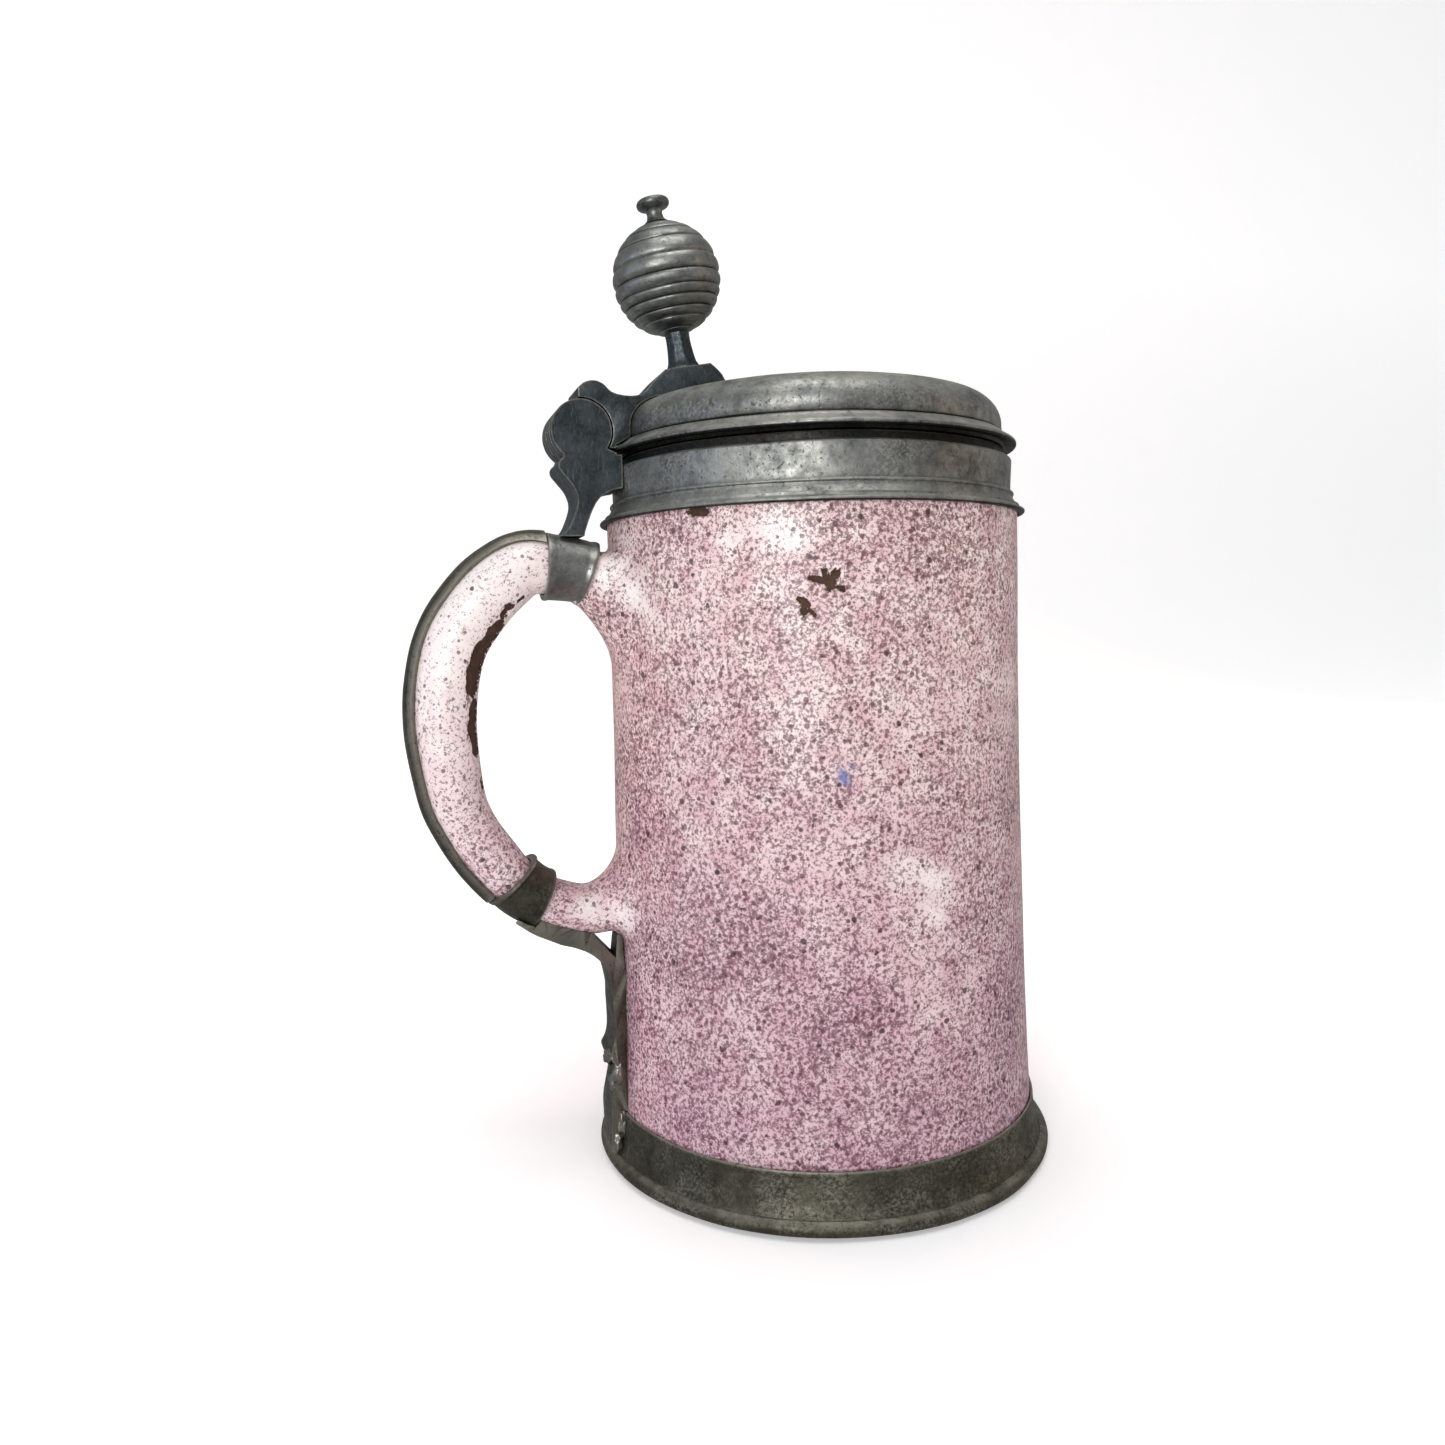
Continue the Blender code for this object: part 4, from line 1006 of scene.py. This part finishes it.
def leaf_outline(mm):
    base = thumb_base(mm)
    rise = math.tan(THUMB_LEAN)
    x, z = HINGE.x, HINGE.z
    top = [
        (x - 0.4, z + 9.6), (x + 1.2, z + 10.8), (x + 3.4, z + 11.2), (x + 5.4, z + 10.5),
        (x + 7.3, z + 8.8), (x + 10.2, z + 8.1), (x + 13.2, z + 8.2), (x + 15.1, z + 9.1),
        (x + 16.9, z + 11.1), (x + 18.9, z + 13.2), (base.x - 6.4, base.z - 6.4 * rise - 0.1),
    ]
    pad = [
        (base.x - 4.7, base.z - 4.7 * rise), (base.x + 4.7, base.z + 4.7 * rise),
        (base.x + 6.2, base.z - 0.4), (base.x + 7.4, base.z - 1.6), (base.x + 8.2, base.z - 3.0),
        (base.x + 8.2, mm.lid_base + 3.6),
    ]
    under = [
        (x + 11.0, mm.lid_base + 1.1), (x + 6.6, mm.lid_base + 1.2), (x + 5.2, mm.lid_base + 2.2),
        (x + 2.6, z - 1.0), (x - 0.4, z + 3.0),
    ]
    return curve_through(top, 5) + pad + under


def bracket_outline(mm, toe):
    x, z = HINGE.x, HINGE.z
    collar = AXIS - mm.collar_radius
    back = [
        (x - 4.4, z - 6.2), (x - 5.5, z - 7.4), (x - 5.4, z - 8.8), (x - 4.1, z - 10.5),
        (x - 2.3, z - 12.8), (x - 1.4, z - 15.5), (x - 1.9, z - 18.2), (x - 3.6, toe + 2.0),
        (x - 5.6, toe),
    ]
    front = [
        (x - 0.2, toe), (x + 0.3, toe + 1.8), (x + 1.8, z - 18.3), (x + 3.7, z - 15.3),
        (x + 6.6, z - 13.5), (collar + 1.0, z - 12.8),
    ]
    top = [
        (collar + 1.0, mm.collar_top - 0.2), (x + 7.2, mm.lid_base + 0.4),
        (x + 5.4, mm.lid_base + 1.2), (x + 2.6, z + 1.0), (x - 3.0, z),
    ]
    return curve_through(back, 5) + curve_through(front, 5) + top


def knuckle_room(mm, spans, ends):
    rooms = []
    for index, (low, high) in enumerate(spans):
        low -= 2.0 if ends and index == 0 else GAP
        high += 2.0 if ends and index == len(spans) - 1 else GAP
        rooms.append(drum(mm.knuckle_radius + 0.4, low, high, HINGE))
    return rooms


class MakeHinge(bpy.types.Operator):
    """Makes the five-leaf hinge: the fixed bracket, the lid's leaf and the pin's finish"""

    bl_idname = "tankard.hinge"
    bl_label = "Hinge"

    def execute(self, context):
        mm = measures()
        half = mm.hinge_width / 2
        spans = knuckle_spans(mm)
        leaf = combined(
            slab(leaf_outline(mm), mm.hinge_width - 0.2), "UNION",
            drum(mm.knuckle_radius, -half + 0.1, half - 0.1, HINGE),
        )
        bore = drum(1.75, -half + 1.0, half + 2.0, HINGE, 32)
        rooms = knuckle_room(mm, spans[0::2], True)
        leaf = combined(leaf, "DIFFERENCE", *rooms, bore, lid_clearance(mm))
        softened(leaf)
        finish_piece("hinge_leaf", leaf, "filed_hinge_pewter", "lid", "pewter", "lid_hinge_leaf")

        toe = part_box("hinge_bracket")[0].z * 1000
        bracket = combined(
            slab(bracket_outline(mm, toe), mm.hinge_width), "UNION",
            drum(mm.knuckle_radius, -half, half, HINGE),
        )
        bore = drum(1.75, -half + 1.0, half + 2.0, HINGE, 32)
        low = mm.collar_bottom - 1.0
        collar = [
            (0.0, mm.collar_top + GAP), (mm.collar_radius + GAP, mm.collar_top + GAP),
            (mm.collar_radius + GAP, low + 5.0), (mm.collar_radius + 3.5, low + 1.2),
            (mm.collar_radius + 3.5, low), (0.0, low),
        ]
        rooms = knuckle_room(mm, spans[1::2], False)
        bracket = combined(bracket, "DIFFERENCE", *rooms, bore, turned(collar, 96), lid_clearance(mm))
        softened(bracket)
        name = "hinge_bracket"
        finish_piece("hinge_bracket_leaf", bracket, "filed_hinge_pewter", "jug", "pewter", name)
        dress("hinge_pin", "drawn_iron")
        return {"FINISHED"}


# ---------------------------------------------------------------- thumbpiece


# Lines turned in the ball, in degrees above its middle: fine above, deep and round below
BALL_GROOVES = (90, 80, 59, 48, 33, 14, -3, -17, -27, -39, -50, -66, -90)


class MakeThumbpiece(bpy.types.Operator):
    """Makes the thumbpiece: fluted stem, ribbed ball and button on one leaning axis"""

    bl_idname = "tankard.thumbpiece"
    bl_label = "Thumbpiece"

    def execute(self, context):
        mm = measures()
        base = thumb_base(mm)
        axis = Vector((-math.sin(THUMB_LEAN), 0.0, math.cos(THUMB_LEAN)))
        finish = "ribbed_ball_pewter"
        stem = [(0.0, 9.2), (3.0, 9.2)]
        stem += curve_through([(3.0, 8.6), (2.95, 7.0), (3.15, 4.4), (3.5, 2.2), (4.1, 0.9)], 5)
        stem += [(4.2, GAP), (0.0, GAP)]
        shape = placed(spun(stem, 96, 8, 0.07), base, -THUMB_LEAN)
        finish_piece("thumb_stem_turned", shape, "filed_hinge_pewter", "lid", "pewter", "thumb_stem")

        half = 12.9
        centre = base + axis * (8.4 + GAP + half - 0.16)
        outline = []
        steps = 300
        for step in range(steps + 1):
            angle = 90 - 180 * step / steps
            above = min((groove for groove in BALL_GROOVES if groove >= angle), default=90)
            below = max((groove for groove in BALL_GROOVES if groove < angle), default=-90)
            across = 2 * (angle - below) / max(above - below, 1) - 1
            swell = math.sqrt(max(1 - abs(across) ** 2.5, 0.0))
            radius = mm.ball_radius * math.cos(math.radians(angle))
            depth = 0.50 + 0.6 * min(max((24 - angle) / 20, 0.0), 1.0)
            out = radius - depth * (1 - swell) * min(radius / 5.0, 1.0)
            outline.append((max(out, 0.0), half * math.sin(math.radians(angle))))
        outline[0] = (0.0, half)
        outline[-1] = (0.0, -half)
        ball = placed(spun(outline, 96), centre, -THUMB_LEAN)
        worn(ball, 0.10, 9.0, 2.0)
        finish_piece("thumb_ball", ball, finish, "lid", "pewter", "ball_lower", "ball_upper")

        crest = centre + axis * (half - 0.16 + GAP)
        button = [(0.0, 5.4), (2.0, 5.3)]
        button += arc((2.75, 4.15), 1.15, 80, -55, 8)
        button += curve_through([(2.6, 3.0), (2.0, 2.5), (1.85, 1.6), (2.2, 0.5), (3.0, -0.2)], 4)
        button += [(0.0, -0.2)]
        shape = placed(spun(button, 64), crest, -THUMB_LEAN)
        finish_piece("thumb_knop", shape, finish, "lid", "pewter", "thumb_button")
        return {"FINISHED"}


# ---------------------------------------------------------------- bands and straps


def sleeve(mm, line, span, raised):
    """A band round the handle: rings out over its rims and back along its bore."""
    start, end = span
    outer = GAP + mm.band_thickness
    sheet = outer - 0.25
    profile = [(0.0, GAP), (0.0, outer - 0.5 + raised), (0.012, outer - 0.1 + raised)]
    profile += [(0.06, outer + raised), (0.10, outer - 0.15 + raised * 0.8), (0.14, sheet)]
    profile += [(share / 20, sheet + 0.1 * math.sin(math.pi * share / 20)) for share in range(4, 17)]
    profile += [(0.86, outer - 0.2), (0.93, outer - 0.05), (0.985, outer - 0.15)]
    profile += [(1.0, outer - 0.6), (1.0, GAP)]
    rings = []
    for share, out in profile:
        at = start + (end - start) * share
        rings.append(oval(mm, stations(line, at, at + 0.01, 1)[0], out, 80))
    return loft(rings, loop=True)


class MakeBands(bpy.types.Operator):
    """Wraps the two sheet sleeves round the handle"""

    bl_idname = "tankard.bands"
    bl_label = "Handle bands"

    def execute(self, context):
        mm = measures()
        line = handle_line(mm)
        upper = sleeve(mm, line, upper_band_span(mm, line), 0.15)
        worn(upper, 0.15, 8.0, 4.0)
        name = "upper_handle_band"
        finish_piece("upper_sleeve", upper, "ribbed_ball_pewter", "jug", "dark_pewter", name)
        lower = sleeve(mm, line, lower_band_span(mm, line), 0.25)
        worn(lower, 0.15, 8.0, 5.0)
        name = "lower_handle_band"
        finish_piece("lower_sleeve", lower, "blackened_sheet_pewter", "jug", "dark_pewter", name)
        return {"FINISHED"}


def strap_ring(mm, place, half_width, crest):
    """Section of a strap that lies on the handle's back: bedded below, domed above."""
    point, outward = place
    across, through = half_sizes(mm, point)

    def bed(y):
        return through * math.sqrt(max(1 - abs(y / across) ** FULLNESS, 0.0)) + 0.12

    steps = 14
    top, bottom = [], []
    for step in range(steps + 1):
        share = -1 + 2 * step / steps
        y = half_width * share
        tucked = y * 0.86  # the underside is narrower, so that its edge casts a line of shade
        lift = crest * (0.62 + 0.38 * math.sqrt(max(1 - abs(share) ** 2.6, 0.0)))
        if step in (0, steps):
            lift *= 0.72
        top.append((y, bed(y) + lift))
        bottom.append((tucked, bed(tucked)))
    ring = top + list(reversed(bottom))
    return [Vector((point.x + outward.x * out, y, point.y + outward.y * out)) for y, out in ring]


class MakeHandleStrap(bpy.types.Operator):
    """Lays the domed strap along the back of the handle, from sleeve to sleeve"""

    bl_idname = "tankard.handle_strap"
    bl_label = "Handle strap"

    def execute(self, context):
        mm = measures()
        line = handle_line(mm)
        start = upper_band_span(mm, line)[1] + 0.1
        end = lower_band_span(mm, line)[0] - 0.1
        count = 110
        rings = []
        for index, place in enumerate(stations(line, start, end, count)):
            share = index / count
            fan = max(0.0, 1 - share / 0.16)
            half = mm.strap_width / 2 + 1.9 * fan**1.5
            rings.append(strap_ring(mm, place, half, mm.strap_thickness - 0.25 * fan))
        strap = loft(rings)
        worn(strap, 0.14, 9.0, 6.0)
        finish_piece("back_strap", strap, "blackened_sheet_pewter", "jug", "dark_pewter", "handle_strap")
        return {"FINISHED"}


def lump(centre, size, seed, turn=0.0):
    """A run blob of solder."""
    shape = bmesh.new()
    bmesh.ops.create_icosphere(shape, subdivisions=4, radius=1.0)
    for vert in shape.verts:
        vert.co *= 1 + 0.35 * noise.noise(vert.co * 1.4 + Vector((seed, 0, 0)))
        vert.co *= 1 + 0.10 * noise.noise(vert.co * 4.0 + Vector((0, seed, 0)))
    bmesh.ops.scale(shape, verts=shape.verts, vec=Vector(size))
    bmesh.ops.rotate(shape, verts=shape.verts, matrix=Matrix.Rotation(turn, 3, "Z"))
    return placed(shape, centre)


class MakeFootStrap(bpy.types.Operator):
    """Lays the foot strap: a tail under the lower root, the notch, and the strap to the foot"""

    bl_idname = "tankard.foot_strap"
    bl_label = "Foot strap"

    def execute(self, context):
        mm = measures()
        line = handle_line(mm)
        thick = mm.foot_strap_thickness
        band = stations(line, *lower_band_span(mm, line), 8)

        def outside(index, out):
            point, outward = band[index]
            reach = half_sizes(mm, point)[1] + out
            return Vector((point.x + outward.x * reach, point.y + outward.y * reach))

        def wall(height, out):
            return (AXIS - wall_radius(mm, height) - GAP - out, height)

        start = outside(5, GAP + 0.2)
        end = outside(8, GAP + 0.4)
        join = Vector(wall(50.2, 0.0))
        outer = [
            (start.x - 0.4, start.y - 0.9), (end.x + 0.6, end.y - 1.9),
            (join.x - 9.6, join.y + 4.0), (join.x - 6.6, join.y + 1.6), wall(48.8, thick + 1.5),
            wall(44.0, thick + 0.4), wall(40.0, thick + 0.1), wall(34.0, thick - 0.4),
            wall(30.0, thick + 0.3), wall(27.6, thick + 1.1), wall(25.8, thick - 0.4),
            wall(24.0, thick - 1.0), wall(20.0, thick - 0.2), wall(16.0, thick + 0.3),
            wall(12.5, thick + 0.6), (AXIS - mm.foot_radius + 0.5, mm.foot_height * 0.62),
            (AXIS - mm.foot_radius + 0.5, 4.0),
        ]
        inside = [(AXIS - mm.jug_foot_radius + 3.0, 4.0), (AXIS - mm.jug_top_radius + 3.0, 56.6)]
        notch = [
            wall(56.6, thick * 0.45), wall(51.4, thick * 0.62), (join.x - 5.8, 55.8),
            (join.x - 10.0, 61.6), (end.x + 3.0, end.y + 4.0), (start.x + 2.0, start.y + 4.0),
        ]
        strap = slab(curve_through(outer, 4) + inside + notch, mm.foot_strap_width, 12)
        bmesh.ops.triangulate(strap, faces=strap.faces)

        def on_strap(x):
            """1 on the wall, falling to 0 out along the tail under the handle."""
            return min(max((x - join.x + 7.0) / 5.0, 0.0), 1.0)

        for vert in strap.verts:
            radius = wall_radius(mm, min(vert.co.z, 60.0))
            on_wall = min(max((56.0 - vert.co.z) / 6.0, 0.0), 1.0)
            narrowed = 1 - 0.55 * min(max((vert.co.z - 44.0) / 12.0, 0.0), 1.0) * on_strap(vert.co.x)
            waved = 0.93 + 0.07 * math.sin(vert.co.z * 0.55) if vert.co.z > 13.5 else 1.0
            vert.co.y *= narrowed * waved
            vert.co.x += (radius - math.sqrt(radius**2 - vert.co.y**2)) * on_wall

        # room for the wall, the handle's lower half, the lower sleeve and the foot ring
        heights = [157.0, 60.0, 45.0, 30.0, 13.2]
        room = [(wall_radius(mm, height) + GAP, height) for height in heights]
        room = turned([(0.0, 157.0), *room, (0.0, 13.2)], 96)
        grown = [
            [v + (v - Vector((p[0].x, 0, p[0].y))).normalized() * 0.2 for v in ring]
            for p, ring in zip(handle_places(mm), handle_rings(mm))
        ]
        handle = loft(grown[120:])
        low, high = lower_band_span(mm, line)
        places = stations(line, low - 0.2, high + 0.2, 8)
        band_room = loft([oval(mm, place, 1.9, 64) for place in places])
        bore = mm.jug_foot_radius + GAP
        foot = [
            (0.0, mm.foot_height + 0.2), (bore + 0.8, mm.foot_height + 0.2),
            (bore + 0.9, mm.foot_height - 2.4), (bore + 1.7, mm.foot_height - 7.4),
            (mm.foot_radius - 1.7, 4.3), (mm.foot_radius + 0.2, 2.0), (mm.foot_radius + 0.2, -1.0),
            (0.0, -1.0),
        ]
        strap = combined(strap, "DIFFERENCE", room, handle, band_room, turned(foot, 96))
        worn(strap, 0.35, 5.0, 8.0)
        finish_piece("wall_strap", strap, "blackened_sheet_pewter", "jug", "dark_pewter", "foot_strap")

        proud = AXIS - mm.jug_foot_radius
        lumps = joined(
            lump((proud - 3.2, -3.4, 27.6), (1.5, 2.7, 1.1), 1.0),
            lump((proud - 1.7, -5.6, 23.6), (1.3, 1.1, 2.8), 2.0),
            lump((proud - 2.6, -3.6, 20.9), (1.3, 1.9, 2.2), 3.0),
            lump((proud - 2.4, 2.8, 24.6), (1.3, 2.2, 1.8), 4.0),
        )
        finish_piece("solder_repair", lumps, "run_soft_solder", "jug", "dark_pewter", "strap_repair")
        seam = joined(
            lump((proud - 1.2, -5.6, 10.8), (1.2, 1.4, 3.0), 5.0),
            lump((proud - 2.6, -6.2, 6.4), (1.1, 1.2, 2.4), 6.0),
        )
        finish_piece("solder_seam", seam, "run_soft_solder", "jug", "dark_pewter")
        return {"FINISHED"}


class DressFrame(bpy.types.Operator):
    """Gives the two plaster beddings their finish"""

    bl_idname = "tankard.bedding"
    bl_label = "Plaster bedding"

    def execute(self, context):
        dress("foot_bedding", "bedding_plaster")
        dress("rim_bedding", "bedding_plaster")
        return {"FINISHED"}


# ---------------------------------------------------------------- stage


def softbox(name, place, aim, width, height, power, tint="#ffffff"):
    light = bpy.data.lights.new(name, "AREA")
    light.shape = "RECTANGLE"
    light.size = width
    light.size_y = height
    light.energy = power
    light.color = linear(tint)
    obj = bpy.data.objects.new(name, light)
    obj.location = place
    obj.rotation_euler = (Vector(aim) - Vector(place)).to_track_quat("-Z", "Y").to_euler()
    bpy.context.scene.collection.objects.link(obj)
    return obj


PAPER_DEPTH = -0.0004  # the paper lies a little under the foot, so that the two faces don't meet
CAMERA_PLACE = (-0.10590, -0.26165, 0.13063)  # in metres from the foot of the jug's axis
CAMERA_FORWARD = (0.29711, 0.95082, -0.08753)
CAMERA_ROLL = -1.51  # degrees
CAMERA_LENS = 27.66  # millimetres, on a sensor 36 mm wide


def backdrop_paper(colour):
    """White seamless paper that glows by its own emission: matt, with the glow turned down near the jug
    as a painted shadow.
    """
    finish, add, surface, place = new_finish("seamless_backdrop_paper")
    away = add("VectorMath", place, (AXIS / 1000, 0.0, 0.0), operation="DISTANCE").outputs["Value"]
    add(
        "BsdfPrincipled", into=surface, Base_Color=colour, Roughness=0.95,
        Emission_Color=(1.0, 1.0, 1.0),
        # painted shadow: the glow drops from 0.44 to 0.20 closer than 24 cm to the jug's foot
        Emission_Strength=add("MapRange", away, 0.04, 0.24, 0.20, 0.44),
    )
    return finish


class MakeStage(bpy.types.Operator):
    """Sets the pale floor, the soft lights and the camera"""

    bl_idname = "tankard.stage"
    bl_label = "Stage"

    def execute(self, context):
        scene = bpy.context.scene
        mesh = bpy.data.meshes.new("backdrop")
        sweep = bmesh.new()
        profile = [(-2.5, 0.0)] + arc((0.9, 0.9), 0.9, -90, 0, 24) + [(1.8, 4.0)]
        corners = [sweep.verts.new((-4.0, y, z)) for y, z in profile]
        for first, second in zip(corners, corners[1:]):
            sweep.edges.new((first, second))
        grown = bmesh.ops.extrude_edge_only(sweep, edges=sweep.edges[:])["geom"]
        moved = [item for item in grown if isinstance(item, bmesh.types.BMVert)]
        bmesh.ops.translate(sweep, verts=moved, vec=(8.0, 0.0, 0.0))
        bmesh.ops.recalc_face_normals(sweep, faces=sweep.faces)
        sweep.to_mesh(mesh)
        sweep.free()
        mesh.shade_smooth()
        backdrop = bpy.data.objects.new("backdrop", mesh)
        backdrop.location.z = PAPER_DEPTH
        scene.collection.objects.link(backdrop)
        mesh.materials.append(backdrop_paper(tuple(scene.tankard_colours.backdrop)))
        backdrop.visible_glossy = False

        world = bpy.data.worlds.new("studio")
        scene.world = world
        world.use_nodes = True
        background = world.node_tree.nodes["Background"]
        background.inputs["Color"].default_value = (*linear("#e9ecef"), 1.0)
        background.inputs["Strength"].default_value = 0.35

        aim = (AXIS / 1000, 0.0, 0.10)
        softbox("key", (-0.66, -1.05, 0.42), aim, 0.55, 0.60, 8.2)
        softbox("cool_left", (-1.3, -0.1, 0.35), aim, 0.5, 0.9, 1.6, "#c9dcff")
        softbox("brown_right", (1.25, -0.55, 0.25), aim, 0.5, 0.9, 1.1, "#ffd2ab")
        softbox("top", (0.0, -0.25, 1.2), aim, 0.7, 0.7, 5.0)
        for name, place in (("warm_left", (-0.95, 1.1, 0.2)), ("warm_right", (1.35, 0.75, 0.15))):
            softbox(name, place, aim, 0.25, 0.8, 6.0, "#ff9a6a").visible_glossy = False

        camera = bpy.data.cameras.new("camera")
        camera.sensor_width = 36.0
        camera.lens = CAMERA_LENS
        camera.clip_start = 0.01
        seat = bpy.data.objects.new("camera", camera)
        forward = Vector(CAMERA_FORWARD).normalized()
        right = forward.cross(Vector((0.0, 0.0, 1.0))).normalized()
        up = right.cross(forward)
        roll = math.radians(CAMERA_ROLL)
        level = right * math.cos(roll) + up * math.sin(roll)
        upright = up * math.cos(roll) - right * math.sin(roll)
        turn = Matrix((level, upright, -forward)).transposed().to_4x4()
        place = Vector(CAMERA_PLACE) + Vector((AXIS / 1000, 0.0, 0.0))
        seat.matrix_world = Matrix.Translation(place) @ turn
        scene.collection.objects.link(seat)
        scene.camera = seat
        scene.view_settings.view_transform = "Standard"
        return {"FINISHED"}


# ---------------------------------------------------------------- panel and registration

OPERATORS = (
    MakeJug,
    MakeFoot,
    MakeCollar,
    MakeLid,
    MakeHinge,
    MakeThumbpiece,
    MakeBands,
    MakeHandleStrap,
    MakeFootStrap,
    DressFrame,
    MakeStage,
)


class TankardPanel(bpy.types.Panel):
    bl_idname = "VIEW3D_PT_tankard"
    bl_label = "Tankard"
    bl_space_type = "VIEW_3D"
    bl_region_type = "UI"
    bl_category = "Tankard"

    def draw(self, context):
        for operator in OPERATORS:
            self.layout.operator(operator.bl_idname)
        for group in (context.scene.tankard_sizes, context.scene.tankard_colours):
            for name in type(group).__annotations__:
                self.layout.prop(group, name)


CLASSES = (TankardSizes, TankardColours, *OPERATORS, TankardPanel)


def register():
    for item in CLASSES:
        bpy.utils.register_class(item)
    bpy.types.Scene.tankard_sizes = PointerProperty(type=TankardSizes)
    bpy.types.Scene.tankard_colours = PointerProperty(type=TankardColours)


def unregister():
    del bpy.types.Scene.tankard_colours
    del bpy.types.Scene.tankard_sizes
    for item in reversed(CLASSES):
        bpy.utils.unregister_class(item)


def main():
    register()
    for operator in OPERATORS:
        group, name = operator.bl_idname.split(".")
        getattr(getattr(bpy.ops, group), name)()


if __name__ == "__main__":
    main()
